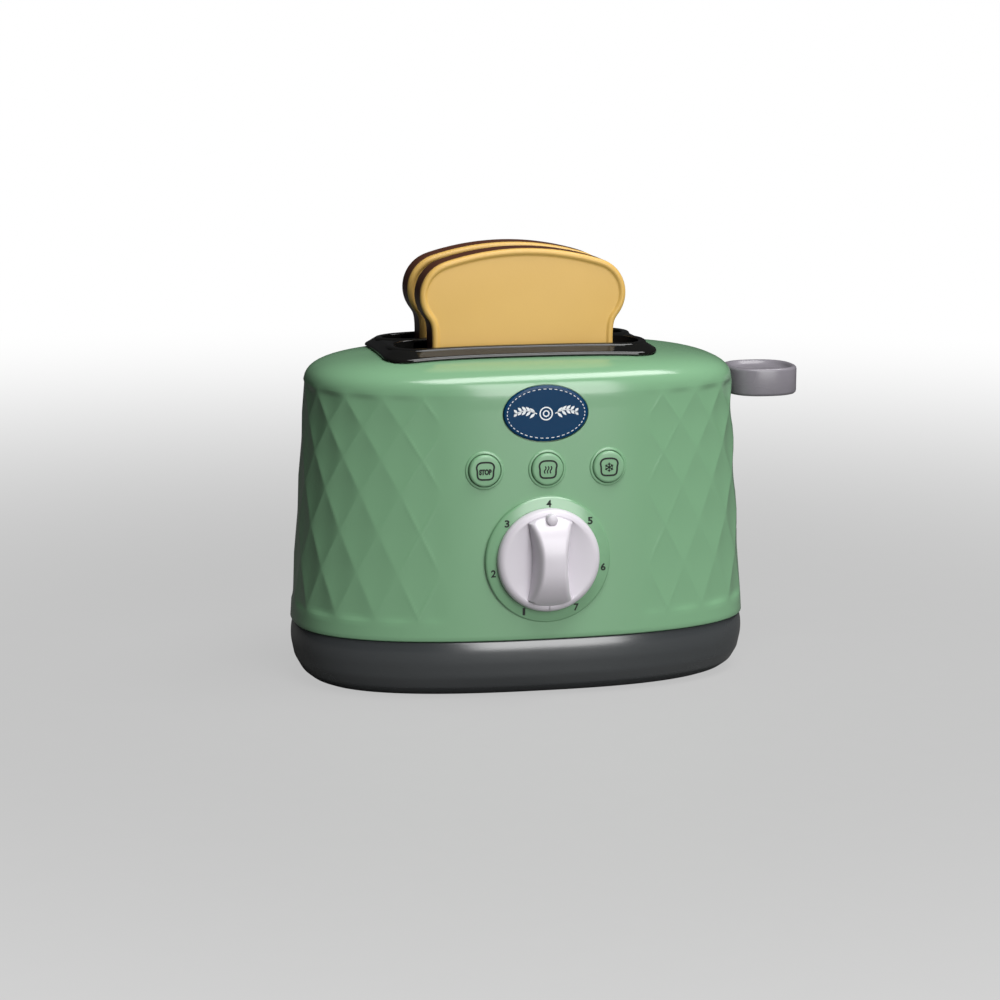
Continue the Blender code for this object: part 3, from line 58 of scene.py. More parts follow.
ROOM_LIGHT = 0.03
WHITE = (1.0, 1.0, 1.0, 1.0)
TABLE_HALF_SIZE = 14.0
TABLE_FADE_START = 0.15
TABLE_FADE_END = 0.9
TABLE_GLOW = 0.5    # share of plain white at the toaster's foot
TABLE_TONES = ((92, 92, 91), (98, 98, 97))
TABLE_GRAIN = 90.0
TABLE_ROUGHNESS = 0.6

camera = bpy.data.objects.new("camera", bpy.data.cameras.new("camera"))
camera.data.lens = CAMERA_LENS
camera.data.sensor_width = SENSOR_WIDTH
back = np.cross(CAMERA_RIGHT, CAMERA_UP)
camera.matrix_world = Matrix([(*axes, place) for *axes, place in
                              zip(CAMERA_RIGHT, CAMERA_UP, back, CAMERA_PLACE)] + [(0, 0, 0, 1)])
bpy.context.scene.collection.objects.link(camera)
bpy.context.scene.camera = camera
bpy.context.scene.view_settings.view_transform = "Standard"


def lamp(name, place, size, power):
    """A rectangular soft lamp that faces the toaster; its sheet is size wide and high."""
    light = bpy.data.lights.new(name, "AREA")
    light.shape = "RECTANGLE"
    light.size, light.size_y = size
    light.energy = power
    holder = bpy.data.objects.new(name, light)
    away = np.array(place) - np.array(LAMP_AIM)
    away /= np.linalg.norm(away)
    side = np.cross((0, 0, 1), away)
    side /= np.linalg.norm(side)
    rise = np.cross(away, side)
    holder.matrix_world = Matrix([(*axes, spot) for *axes, spot in zip(side, rise, away, place)]
                                 + [(0, 0, 0, 1)])
    bpy.context.scene.collection.objects.link(holder)


lamp("front_lamp", **FRONT_LAMP)
lamp("top_lamp", **TOP_LAMP)


def node(tree, kind, inputs=None, **settings):
    """Add one shader node, set its properties, and link or set its inputs."""
    made = tree.nodes.new(kind)
    for name, value in settings.items():
        setattr(made, name, value)
    for name, value in (inputs or {}).items():
        if isinstance(value, bpy.types.NodeSocket):
            tree.links.new(value, made.inputs[name])
        else:
            made.inputs[name].default_value = value
    return made


def background_ray(tree):
    """1 for rays that see the backdrop: the camera's and those that pass through something."""
    path = node(tree, "ShaderNodeLightPath")
    seen = node(tree, "ShaderNodeMath", {0: path.outputs["Is Camera Ray"],
                                         1: path.outputs["Is Transmission Ray"]}, operation="MAXIMUM")
    return seen.outputs[0]


world = bpy.data.worlds.new("studio")
bpy.context.scene.world = world
world.use_nodes = True
tree = world.node_tree
tree.nodes.clear()
seen = background_ray(tree)
room = node(tree, "ShaderNodeBackground", {"Color": ROOM_TINT, "Strength": ROOM_LIGHT})
white = node(tree, "ShaderNodeBackground", {"Color": WHITE, "Strength": 1.0})
mix = node(tree, "ShaderNodeMixShader", {0: seen, 1: room.outputs[0], 2: white.outputs[0]})
node(tree, "ShaderNodeOutputWorld", {"Surface": mix.outputs[0]})


def linear(shade):
    """Scene-linear RGBA of a display colour from 0 to 255."""
    shares = np.array(shade) / 255.0
    values = np.where(shares <= 0.04045, shares / 12.92, ((shares + 0.055) / 1.055) ** 2.4)
    return (*(float(v) for v in values), 1.0)


table_material = bpy.data.materials.new("pale_tabletop")
table_material.use_nodes = True
tree = table_material.node_tree
tree.nodes.clear()
place = node(tree, "ShaderNodeTexCoord")
distance = node(tree, "ShaderNodeVectorMath", {0: place.outputs["Object"]}, operation="LENGTH")
fade = node(tree, "ShaderNodeMapRange", {"Value": distance.outputs["Value"], "From Min": TABLE_FADE_START,
                                         "From Max": TABLE_FADE_END, "To Min": TABLE_GLOW},
            interpolation_type="SMOOTHSTEP")
seen = background_ray(tree)
share = node(tree, "ShaderNodeMath", {0: fade.outputs[0], 1: seen}, operation="MULTIPLY")
grain = node(tree, "ShaderNodeTexNoise", {"Vector": place.outputs["Object"], "Scale": TABLE_GRAIN,
                                          "Detail": 4.0})
dark, light = (linear(tone) for tone in TABLE_TONES)
tones = node(tree, "ShaderNodeMix", {"Factor": grain.outputs[0], "A": dark, "B": light}, data_type="RGBA")
matte = node(tree, "ShaderNodeBsdfPrincipled", {"Base Color": tones.outputs["Result"],
                                                "Roughness": TABLE_ROUGHNESS})
glow = node(tree, "ShaderNodeEmission", {"Color": WHITE, "Strength": 1.0})
mix = node(tree, "ShaderNodeMixShader", {0: share.outputs[0], 1: matte.outputs[0], 2: glow.outputs[0]})
node(tree, "ShaderNodeOutputMaterial", {"Surface": mix.outputs[0]})

table_mesh = bpy.data.meshes.new("tabletop")
half = TABLE_HALF_SIZE
table_mesh.from_pydata([(-half, -half, 0), (half, -half, 0), (half, half, 0), (-half, half, 0)], [],
                       [(0, 1, 2, 3)])
table_mesh.materials.append(table_material)
tabletop = bpy.data.objects.new("tabletop", table_mesh)
bpy.context.scene.collection.objects.link(tabletop)


# Base tray
# The grey foot that closes the casing: injection-moulded ABS with a flared flat underside,
# a lip inside the casing's rim, and six pads whose holes take the screws from below.
SEAM_HEIGHT = 0.019
BODY_HALF_LENGTH = 0.076
BODY_HALF_DEPTH = 0.042
PLAN_EXPONENT = 2.5
FINE_COLUMNS = 448
WALL = 0.0022
FIT = 0.0003
BASE_FLOOR = 0.0026
BASE_FOOT_INSET = 0.009
BASE_FLARE_SHARES = ((0.0, 1.0), (0.06, 0.68), (0.18, 0.36), (0.38, 0.13), (0.65, 0.02), (1.0, 0.0))
SPIGOT_TOP = 0.0225
SPIGOT_INSET = 0.0025
SPIGOT_WALL = 0.0016
BASE_EDGE = 0.0008
BASE_SHOULDER = 0.0052    # height of the soft rounding below the seam
SCREW_PLACES = ((-0.0595, -0.012), (0.0595, -0.012), (-0.0595, 0.012), (0.0595, 0.012),
                (-0.0418, -0.0172), (0.0356, 0.0172))
SCREW_PAD_TOP = 0.0058
SCREW_PAD_RADII = (0.0054, 0.0040)
SCREW_HEAD_RADIUS = 0.0031
SCREW_HEAD_DEPTH = 0.0030
SCREW_HOLE_RADIUS = 0.0018
OVERCUT = 0.003    # how far a cutter reaches past the surface it cuts
SPIGOT_FOOT = 0.006    # height over the floor where the spigot's wall starts


def moulded(name, shade, roughness, mottle=0.03, mottle_size=0.02, pits=0.02, pit_size=0.0006,
            metal=0.0, index=1.5, gloss_drift=0.06, pit_depth=0.0002):
    """Material of a moulded or drawn surface.

    The colour drifts by the share mottle over patches of mottle_size, the gloss drifts with
    it, and a fine noise of pit_size raises and lowers the surface. index is the refractive one.
    """
    material = bpy.data.materials.new(name)
    material.use_nodes = True
    tree = material.node_tree
    shader = tree.nodes["Principled BSDF"]
    place = node(tree, "ShaderNodeTexCoord").outputs["Object"]
    patches = node(tree, "ShaderNodeTexNoise", {"Vector": place, "Scale": 1 / mottle_size, "Detail": 1.0})
    base = np.array(linear(shade))
    dark, light = base * (1 - mottle), base * (1 + mottle)
    tones = node(tree, "ShaderNodeMix", {"Factor": patches.outputs[0], "A": (*dark[:3], 1.0),
                                         "B": (*np.minimum(light[:3], 1.0), 1.0)}, data_type="RGBA")
    tree.links.new(tones.outputs["Result"], shader.inputs["Base Color"])
    gloss = node(tree, "ShaderNodeMapRange", {"Value": patches.outputs[0],
                                              "To Min": roughness * (1 - gloss_drift),
                                              "To Max": roughness * (1 + gloss_drift)})
    tree.links.new(gloss.outputs[0], shader.inputs["Roughness"])
    fine = node(tree, "ShaderNodeTexNoise", {"Vector": place, "Scale": 1 / pit_size, "Detail": 2.0})
    bump = node(tree, "ShaderNodeBump", {"Height": fine.outputs[0], "Strength": pits,
                                         "Distance": pit_depth})
    tree.links.new(bump.outputs[0], shader.inputs["Normal"])
    shader.inputs["Metallic"].default_value = metal
    shader.inputs["IOR"].default_value = index
    return material


def shell(rings, wrap_rows=False, falling=None):
    """Points and faces of a closed surface through rings of points.

    Each ring is joined to the next. The first and last are capped, or joined to each other
    when wrap_rows is set. The faces point outwards. With falling, every cell is split in two
    along its rising diagonal, or along the falling one where the mask is set.
    """
    rings = np.asarray(rings, dtype=float)
    rows, columns = rings.shape[:2]
    index = np.arange(rows * columns).reshape(rows, columns)
    above = np.roll(index, -1, axis=0)
    if not wrap_rows:
        index, above = index[:-1], above[:-1]
    quads = np.stack([index, np.roll(index, -1, axis=1), np.roll(above, -1, axis=1), above], axis=-1)
    quads = quads.reshape(-1, 4)
    points = rings.reshape(-1, 3)
    a, b, c, d = (points[quads[:, k]] - points.mean(axis=0) for k in range(4))
    volume = np.sum(np.cross(a, b) * c + np.cross(a, c) * d)
    if falling is None:
        faces = quads.tolist()
    else:
        mask = falling.reshape(-1, 1)
        lower = np.where(mask, quads[:, [0, 1, 3]], quads[:, [0, 1, 2]])
        upper = np.where(mask, quads[:, [1, 2, 3]], quads[:, [0, 2, 3]])
        faces = np.concatenate([lower, upper]).tolist()
    if not wrap_rows:
        for ring, order in ((rings[0], -1), (rings[-1], 1)):
            fan = ring[::order] - points.mean(axis=0)
            volume += np.sum(np.cross(fan[0], fan[1:-1]) * fan[2:])
        faces.append(np.arange(columns)[::-1].tolist())
        faces.append((rows * columns - columns + np.arange(columns)).tolist())
    if volume < 0:
        faces = [face[::-1] for face in faces]
    return points, faces


def joined(name, shells):
    """One mesh of several closed shells."""
    points, faces = [], []
    for shell_points, shell_faces in shells:
        start = sum(len(p) for p in points)
        points.append(shell_points)
        faces += [[start + k for k in face] for face in shell_faces]
    mesh = bpy.data.meshes.new(name)
    mesh.from_pydata(np.concatenate(points).tolist(), [], faces)
    return mesh


def piece(name, shells, material, body, stands_for=(), crease=35.0):
    """An object made of closed shells that rides on a body of the frame."""
    mesh = joined(name, shells)
    mesh.materials.append(material)
    mesh.shade_smooth()
    mesh.set_sharp_from_angle(angle=math.radians(crease))
    made = bpy.data.objects.new(name, mesh)
    bpy.context.scene.collection.objects.link(made)
    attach(made, body)
    if stands_for:
        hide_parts(*stands_for)
    return made


def carve(made, shells, operation="DIFFERENCE", crease=35.0):
    """Cut closed shells out of a piece, or join them to it, and keep the result as its mesh."""
    tool = bpy.data.objects.new("tool", joined("tool", shells))
    bpy.context.scene.collection.objects.link(tool)
    modifier = made.modifiers.new("carve", "BOOLEAN")
    modifier.operation = operation
    modifier.solver = "EXACT"
    modifier.object = tool
    depsgraph = bpy.context.evaluated_depsgraph_get()
    result = bpy.data.meshes.new_from_object(made.evaluated_get(depsgraph))
    made.modifiers.remove(modifier)
    made.data = result
    result.shade_smooth()
    result.set_sharp_from_angle(angle=math.radians(crease))
    bpy.data.objects.remove(tool, do_unlink=True)


def directions(turn):
    """(cos, sin) of an angle, or of each angle in a row."""
    return np.stack([np.cos(turn), np.sin(turn)], axis=-1)


def circle(radius, sides=64):
    """Points of a circle as (u, v)."""
    return radius * directions(2 * np.pi * np.arange(sides) / sides)


def at_height(outline, height):
    """An outline of (x, y) points as a ring at a height."""
    return np.column_stack([outline, np.full(len(outline), height)])


def upright(outline, y):
    """An outline of (x, z) points as a ring at a place in Y."""
    return np.stack([outline[:, 0], np.broadcast_to(y, len(outline)), outline[:, 1]], axis=-1)


def turned(profile, centre, axis="Z", sides=64, hollow=False):
    """A shell turned about an axis from (place along it, radius) pairs; centre is (u, v)."""
    placed = upright if axis == "Y" else at_height
    rings = [placed(circle(radius, sides) + np.array(centre), along) for along, radius in profile]
    return shell(rings, wrap_rows=hollow)


def signed_power(values, power):
    """|v|^p with the sign of v."""
    return np.sign(values) * np.abs(values) ** power


def plan_outline(half_length, half_depth, shares):
    """Plan of the casing, |x/a|^n + |y/b|^n = 1, at shares of its length from the front's middle."""
    fine = np.linspace(0, 2 * np.pi, 2881)
    x = half_length * signed_power(np.sin(fine), 2 / PLAN_EXPONENT)
    y = -half_depth * signed_power(np.cos(fine), 2 / PLAN_EXPONENT)
    run = np.concatenate([[0.0], np.cumsum(np.hypot(np.diff(x), np.diff(y)))])
    shares = np.asarray(shares) % 1.0
    return np.stack([np.interp(shares, run / run[-1], x), np.interp(shares, run / run[-1], y)], axis=-1)


def base_ring(inset, height):
    """The plan at the seam, moved inwards by inset, at a height."""
    return at_height(plan_outline(BODY_HALF_LENGTH - inset, BODY_HALF_DEPTH - inset, round_shares), height)


round_shares = np.arange(FINE_COLUMNS) / FINE_COLUMNS
heights = np.concatenate([np.linspace(0, 1, 30) ** 1.6 * 0.8, np.linspace(0.82, 1, 12)])
flare = np.interp(heights, *zip(*BASE_FLARE_SHARES))
flare[1:-1] = 0.5 * flare[1:-1] + 0.25 * (flare[:-2] + flare[2:])
rings = []
for height, inset in zip(heights * (SEAM_HEIGHT - 0.3 * BASE_EDGE), flare * BASE_FOOT_INSET):
    inset += BASE_EDGE * max(0.0, 1 - (SEAM_HEIGHT - height) / BASE_SHOULDER) ** 2
    rings.append(base_ring(inset, height))
spigot_inside = SPIGOT_INSET + SPIGOT_WALL
rings += [base_ring(inset, height) for inset, height in (
    (1.2 * BASE_EDGE, SEAM_HEIGHT), (SPIGOT_INSET, SEAM_HEIGHT), (SPIGOT_INSET, SPIGOT_TOP - BASE_EDGE),
    (SPIGOT_INSET + BASE_EDGE, SPIGOT_TOP), (spigot_inside, SPIGOT_TOP),
    (spigot_inside, BASE_FLOOR + SPIGOT_FOOT), (spigot_inside + BASE_FOOT_INSET, BASE_FLOOR))]
base_grey = moulded("base_grey", (62, 65, 67), 0.20, mottle=0.01, pits=0.015, index=1.9)
base = piece("base_foot", [shell(rings)], base_grey, "casing", ["base_tray"])
pad_profile = list(zip((BASE_FLOOR / 2, SCREW_PAD_TOP), SCREW_PAD_RADII))
carve(base, [turned(pad_profile, place) for place in SCREW_PLACES], "UNION")
hole_profile = [(-OVERCUT, SCREW_HEAD_RADIUS), (SCREW_HEAD_DEPTH, SCREW_HEAD_RADIUS),
                (SCREW_HEAD_DEPTH, SCREW_HOLE_RADIUS), (SCREW_PAD_TOP + OVERCUT, SCREW_HOLE_RADIUS)]
carve(base, [turned(hole_profile, place) for place in SCREW_PLACES])


# Casing
# The green shell, injection-moulded ABS. Its plan is an oval with round corners, and it leans
# in to a soft crown. Diamond facets run round it and fade out on the broad front and rear.
SHOULDER_HEIGHT = 0.094
CROWN_RISE = 0.0149
CROWN_EXPONENT = 4.0
END_LEAN = math.radians(3.6)
FRONT_LEAN = math.radians(1.8)
FACET_COLUMNS = 28
FACET_LOW = 0.027
FACET_HIGH = 0.097
FACET_ROW_SHARES = (0.0, 0.20, 0.386, 0.571, 0.729, 0.871, 1.0)
FACET_LEDGE = 0.0017    # height over which the facets run out above and below
LEDGE_SHARES = (0.3, 0.8, 1.0)
FACET_CELLS = 12    # mesh cells across half a diamond, both ways
FACET_FADE = (0.030, 0.038)    # distance from the middle over which the facets come in
DISH_SHARE = 1.1    # depth of a diamond's middle over that of its chord
RIDGE_BEAD = 0.00009    # height of the fine bead on the ridges nearest the middle
BEAD_ZONE = (0.034, 0.037, 0.044, 0.047)
CROWN_LAST_SHARE = 0.42    # spread of the innermost ring of the crown, under the frame
INNER_LEVELS = (0.045, 0.070)
SEAM_GAP = 0.0003
SEAM_EDGE = 0.0005
CASING_CREASE = 50


def half_sizes(height, inset=0.0):
    """Half length and half depth of the casing's plan at a height."""
    climb = min(height, SHOULDER_HEIGHT) - SEAM_HEIGHT
    return (BODY_HALF_LENGTH - climb * math.tan(END_LEAN) - inset,
            BODY_HALF_DEPTH - climb * math.tan(FRONT_LEAN) - inset)


def casing_plan(height, inset, shares):
    """Smooth plan at a height; above the shoulder it shrinks as (1 - t^m)^(1/m)."""
    share = max(height - SHOULDER_HEIGHT, 0.0) / (CROWN_RISE - inset)
    spread = (1 - min(share, 1.0) ** CROWN_EXPONENT) ** (1 / CROWN_EXPONENT)
    return plan_outline(*half_sizes(height, inset), shares) * spread


def crown_height(x, y, inset=0.0):
    """Height of the crown above a place in plan."""
    half_length, half_depth = half_sizes(SHOULDER_HEIGHT, inset)
    spread = np.abs(x / half_length) ** PLAN_EXPONENT + np.abs(y / half_depth) ** PLAN_EXPONENT
    spread = np.minimum(spread ** (1 / PLAN_EXPONENT), 1.0)
    return SHOULDER_HEIGHT + (CROWN_RISE - inset) * (1 - spread ** CROWN_EXPONENT) ** (1 / CROWN_EXPONENT)


def smoothstep(values):
    """0 to 1 as 3 t^2 - 2 t^3."""
    values = np.clip(values, 0, 1)
    return values ** 2 * (3 - 2 * values)


def front_face(x, height, inset=0.0):
    """Place in Y of the casing's front wall."""
    half_length, half_depth = half_sizes(height, inset)
    return -half_depth * (1 - np.abs(x / half_length) ** PLAN_EXPONENT) ** (1 / PLAN_EXPONENT)


half_columns = 2 * FACET_COLUMNS
casing_shares = np.arange(half_columns * FACET_CELLS) / (half_columns * FACET_CELLS)
facet_heights = FACET_LOW + (FACET_HIGH - FACET_LOW) * np.array(FACET_ROW_SHARES)
lattice_heights = np.concatenate([[2 * facet_heights[0] - facet_heights[1]], facet_heights,
                                  [2 * facet_heights[-1] - facet_heights[-2]]])
corner_shares = np.arange(half_columns) / half_columns
lattice = np.stack([plan_outline(*half_sizes(h), corner_shares) for h in lattice_heights])


def diamonds(steps, climbs):
    """Place in plan of the faceted wall, steps half columns round and climbs rows up.

    Corners B, R, L, T lie where steps + climbs is even. Between them the place is
    (1-a)(1-b) B + a(1-b) R + (1-a)b L + ab T + 4 a(1-a) b(1-b) (L + R - B - T) dish.
    """
    rising, falling = (steps + climbs) / 2, (climbs - steps) / 2
    first, second = np.floor(rising).astype(int), np.floor(falling).astype(int)
    a, b = (rising - first)[..., None], (falling - second)[..., None]

    def corner(aside, above):
        row = np.clip(first + second + above + 1, 0, len(lattice) - 1)
        return lattice[row, (first - second + aside) % half_columns]

    bottom, right, left, top = corner(0, 0), corner(1, 1), corner(-1, 1), corner(0, 2)
    patch = (1 - a) * (1 - b) * bottom + a * (1 - b) * right + (1 - a) * b * left + a * b * top
    return patch + 4 * a * (1 - a) * b * (1 - b) * (left + right - bottom - top) * DISH_SHARE


row_count = (len(facet_heights) - 1) * FACET_CELLS + 1
climbs = np.arange(row_count) / FACET_CELLS
fine_heights = np.interp(climbs, np.arange(len(facet_heights)), facet_heights)
smooth = np.stack([casing_plan(h, 0.0, casing_shares) for h in fine_heights])
steps, climbs = np.meshgrid(casing_shares * half_columns, climbs)
leaning = np.stack([plan_outline(*half_sizes(h), casing_shares) for h in fine_heights])
relief = diamonds(steps, climbs) - leaning
relief *= smoothstep((np.abs(smooth[..., 0]) - FACET_FADE[0]) / (FACET_FADE[1] - FACET_FADE[0]))[..., None]
rows, columns = np.indices(steps.shape)
on_ridge = ((rows + columns) % (2 * FACET_CELLS) == 0) | ((rows - columns) % (2 * FACET_CELLS) == 0)
bead = RIDGE_BEAD * on_ridge * np.interp(np.abs(smooth[..., 0]), BEAD_ZONE, (0, 1, 1, 0))
low_sizes = np.array(half_sizes(FACET_LOW))
outwards = signed_power(smooth / low_sizes, PLAN_EXPONENT - 1) / low_sizes
relief += bead[..., None] * outwards / np.linalg.norm(outwards, axis=-1)[..., None]


def wall_ring(height, inset=0.0, dent=0.0):
    """One level of the casing's wall, moved in plan by dent."""
    return at_height(casing_plan(height, inset, casing_shares) + dent, height)


low = SEAM_HEIGHT + SEAM_GAP
outer = [wall_ring(low, SEAM_EDGE), wall_ring(low + 0.3 * SEAM_EDGE, 0.3 * SEAM_EDGE)]
outer += [wall_ring(h) for h in np.linspace(low + SEAM_EDGE, FACET_LOW - 2 * FACET_LEDGE, 4)]
outer += [wall_ring(FACET_LOW - FACET_LEDGE * share, dent=relief[0] * (1 - share))
          for share in LEDGE_SHARES[::-1]]
first_facet_row = len(outer)
outer += [at_height(smooth[k] + relief[k], fine_heights[k]) for k in range(row_count)]
outer += [wall_ring(FACET_HIGH + FACET_LEDGE * share, dent=relief[-1] * (1 - share))
          for share in LEDGE_SHARES]
turn = np.linspace(0, np.pi / 2, 400)
climb_curve = SHOULDER_HEIGHT + CROWN_RISE * np.sin(turn) ** (2 / CROWN_EXPONENT)
spread_curve = np.cos(turn) ** (2 / CROWN_EXPONENT)
depth_curve = half_sizes(SHOULDER_HEIGHT)[1] * spread_curve
run = np.concatenate([[0], np.cumsum(np.hypot(np.diff(climb_curve), np.diff(depth_curve)))])
first = np.interp(FACET_HIGH + 2 * FACET_LEDGE, climb_curve, run)
last = np.interp(-CROWN_LAST_SHARE, -spread_curve, run)
crown_turns = np.interp(np.linspace(first, last, 24), run, turn)


def crown_rings(turns, inset=0.0):
    """Rings over the shoulder: height as sin^(2/m) and spread as cos^(2/m) of the turn."""
    outline = plan_outline(*half_sizes(SHOULDER_HEIGHT, inset), casing_shares)
    power = 2 / CROWN_EXPONENT
    return [at_height(outline * math.cos(t) ** power,
                      SHOULDER_HEIGHT + (CROWN_RISE - inset) * math.sin(t) ** power) for t in turns]


outer += crown_rings(crown_turns)
inner = [wall_ring(h, WALL) for h in (low, *INNER_LEVELS, SHOULDER_HEIGHT)]
inner += crown_rings(np.linspace(0.02, crown_turns[-1], 9), WALL)
rows, columns = np.meshgrid(np.arange(len(inner) + len(outer) - 1) - len(inner) - first_facet_row,
                            np.arange(len(casing_shares)), indexing="ij")
on_falling_ridge = (rows + columns + 1) % (2 * FACET_CELLS) == 0

casing_green = moulded("casing_green", (124, 168, 130), 0.18, mottle=0.008, mottle_size=0.03, pits=0.008,
                       index=1.6)
casing = piece("faceted_casing", [shell(inner[::-1] + outer, falling=on_falling_ridge)], casing_green,
               "casing", ["body_shell"], crease=CASING_CREASE)


def prism(outline, start, end, axis="Z"):
    """A shell with an outline of (u, v) points carried along an axis."""
    placed = upright if axis == "Y" else at_height
    outline = np.asarray(outline, dtype=float)
    return shell([placed(outline, along) for along in (start, end)])


def block(low_corner, high_corner):
    """A box between two corners."""
    x0, y0, z0 = low_corner
    x1, y1, z1 = high_corner
    return prism([(x0, y0), (x1, y0), (x1, y1), (x0, y1)], z0, z1)


def rounded_rectangle(half_u, half_v, radius, centre=(0.0, 0.0), corner_steps=12, side_steps=1):
    """Outline of a rectangle with round corners, anticlockwise from its right side."""
    corners = []
    for k, (side_u, side_v) in enumerate(((1, 1), (-1, 1), (-1, -1), (1, -1))):
        turn = np.pi / 2 * (k + np.arange(corner_steps + 1) / corner_steps)
        middle = np.array([centre[0] + side_u * (half_u - radius), centre[1] + side_v * (half_v - radius)])
        corners.append(middle + radius * directions(turn))
    parts = []
    for corner, after in zip(corners, corners[1:] + corners[:1]):
        shares = np.arange(1, side_steps)[:, None] / side_steps
        parts += [corner, corner[-1] + shares * (after[0] - corner[-1])]
    return np.concatenate(parts)


CHANNEL_FLOOR_X = 0.0680
CHANNEL_HALF_WIDTH = 0.0106
CHANNEL_BOTTOM = 0.0465
CHANNEL_TOP = 0.1002
CHANNEL_WALL = 0.0020
NECK_SLOT_HALF_WIDTH = 0.0028
NECK_SLOT = (0.0505, 0.0975)
SLOT_X = -0.0031
FRAME_COLLAR_SIZES = (0.0439, 0.0224)
BUTTON_HEIGHT = 0.0747
BUTTON_PLACES = {"stop": -0.0203, "toast": 0.0, "defrost": 0.0203}
BUTTON_HOLE_RADIUS = 0.00575
DIAL_HEIGHT = 0.0456
DIAL_FACE = -0.0423
DIAL_RING_RADIUS = 0.0205
BADGE_X = -0.0004
BADGE_HEIGHT = 0.0925
BADGE_HALF_SIZES = (0.0138, 0.0090)
BADGE_SINK = 0.0011
OVERLAP = 0.0006    # how far joined shapes reach into each other
FRAME_COLLAR_CORNER = 0.003
SHAFT_HOLE_RADIUS = 0.0033
CASING_TOP = 0.115    # just above the casing, where downward cuts start
BUTTON_HOLE_SPAN = (-0.05, -0.033)
DIAL_HOLE_END = -0.030

outer_x = half_sizes(SHOULDER_HEIGHT)[0] - WALL - OVERLAP
inner_x = CHANNEL_FLOOR_X - CHANNEL_WALL
half_width = CHANNEL_HALF_WIDTH + CHANNEL_WALL
low_end = CHANNEL_BOTTOM - CHANNEL_WALL
pocket = [(inner_x, low_end), (half_sizes(low_end)[0] - WALL - OVERLAP, low_end), (outer_x, SHOULDER_HEIGHT)]
pocket += [(x, float(crown_height(x, half_width)) - WALL / 2) for x in (outer_x, inner_x)]
carve(casing, [prism(pocket, -half_width, half_width, "Y")], "UNION", crease=CASING_CREASE)
badge_oval = np.array([BADGE_X, BADGE_HEIGHT]) + circle(1.0, 96) * (np.array(BADGE_HALF_SIZES) + FIT)
cutters = [prism(rounded_rectangle(*FRAME_COLLAR_SIZES, FRAME_COLLAR_CORNER, (SLOT_X, 0.0)),
                 SHOULDER_HEIGHT, CASING_TOP),
           block((CHANNEL_FLOOR_X, -CHANNEL_HALF_WIDTH, CHANNEL_BOTTOM),
                 (BODY_HALF_LENGTH + OVERCUT, CHANNEL_HALF_WIDTH, CHANNEL_TOP)),
           turned([(DIAL_FACE - OVERCUT, SHAFT_HOLE_RADIUS), (DIAL_HOLE_END, SHAFT_HOLE_RADIUS)],
                  (0.0, DIAL_HEIGHT), "Y"),
           prism(badge_oval, BUTTON_HOLE_SPAN[0], front_face(0.0, BADGE_HEIGHT) + BADGE_SINK, "Y")]
cutters += [turned([(y, BUTTON_HOLE_RADIUS) for y in BUTTON_HOLE_SPAN], (x, BUTTON_HEIGHT), "Y")
            for x in BUTTON_PLACES.values()]
carve(casing, cutters, crease=CASING_CREASE)
carve(casing, [block((inner_x - OVERCUT, -NECK_SLOT_HALF_WIDTH, NECK_SLOT[0]),
                     (CHANNEL_FLOOR_X + OVERCUT, NECK_SLOT_HALF_WIDTH, NECK_SLOT[1]))], crease=CASING_CREASE)


# Dial ring, button collars and inner bosses
# They are moulded in one with the casing. The raised ring carries the dial's numbers, a low
# collar with a round edge stands round each button, and tubes inside take the screws.
RING_EDGE = 0.0004
RING_CENTRE = (0.0002, DIAL_HEIGHT - 0.0002)
COLLAR_INNER_RADIUS = 0.00535
COLLAR_RADIUS = 0.0060
COLLAR_RISE = 0.00045
COLLAR_ROUND = 0.00035
COLLAR_LIP = 0.0001
COLLAR_ROOTS = (0.0003, 0.0012)  # how deep the collar runs into the wall
RING_ROOT = -0.0395
BORE = 0.0016
SCREW_BOSS_RADIUS = 0.0040
SCREW_BOSS_SPAN = (0.0061, 0.036)
PLATE_BOSS_RADIUS = 0.0027
PLATE_BOSS_END = -0.0296
PLATE_BOSS_X = 0.01015


def tube(inside, outside, start, end, centre, axis="Z"):
    """A plain tube as a closed ring."""
    profile = [(start, inside), (start, outside), (end, outside), (end, inside)]
    return turned(profile, centre, axis, hollow=True)


ring_profile = [(DIAL_FACE, SHAFT_HOLE_RADIUS), (DIAL_FACE, DIAL_RING_RADIUS - 1.15 * RING_EDGE),
                (DIAL_FACE + 0.06 * RING_EDGE, DIAL_RING_RADIUS - 1.02 * RING_EDGE),
                (DIAL_FACE + 0.20 * RING_EDGE, DIAL_RING_RADIUS - 0.85 * RING_EDGE),
                (DIAL_FACE + RING_EDGE, DIAL_RING_RADIUS)]
ring_profile += [(RING_ROOT, DIAL_RING_RADIUS), (RING_ROOT, SHAFT_HOLE_RADIUS)]
features = [turned(ring_profile, RING_CENTRE, "Y", 192, hollow=True)]

turn = np.linspace(0, 2 * np.pi, 96, endpoint=False)
lip = [(COLLAR_INNER_RADIUS, -COLLAR_ROOTS[1]), (COLLAR_INNER_RADIUS, COLLAR_RISE - COLLAR_LIP),
       (COLLAR_INNER_RADIUS + COLLAR_LIP, COLLAR_RISE)]
lip += [(COLLAR_RADIUS - 2 * COLLAR_LIP + COLLAR_ROUND * math.sin(a),
         COLLAR_RISE - COLLAR_ROUND * (1 - math.cos(a))) for a in np.radians((0, 25, 50, 75))]
lip += [(COLLAR_RADIUS + COLLAR_ROUND, -root) for root in COLLAR_ROOTS]
for centre_x in BUTTON_PLACES.values():
    rings = []
    for radius, rise in lip:
        x = centre_x + radius * np.cos(turn)
        z = BUTTON_HEIGHT + radius * np.sin(turn)
        wall = np.array([front_face(u, v) for u, v in zip(x, z)])
        rings.append(np.stack([x, wall - rise, z], axis=-1))
    features.append(shell(rings, wrap_rows=True))
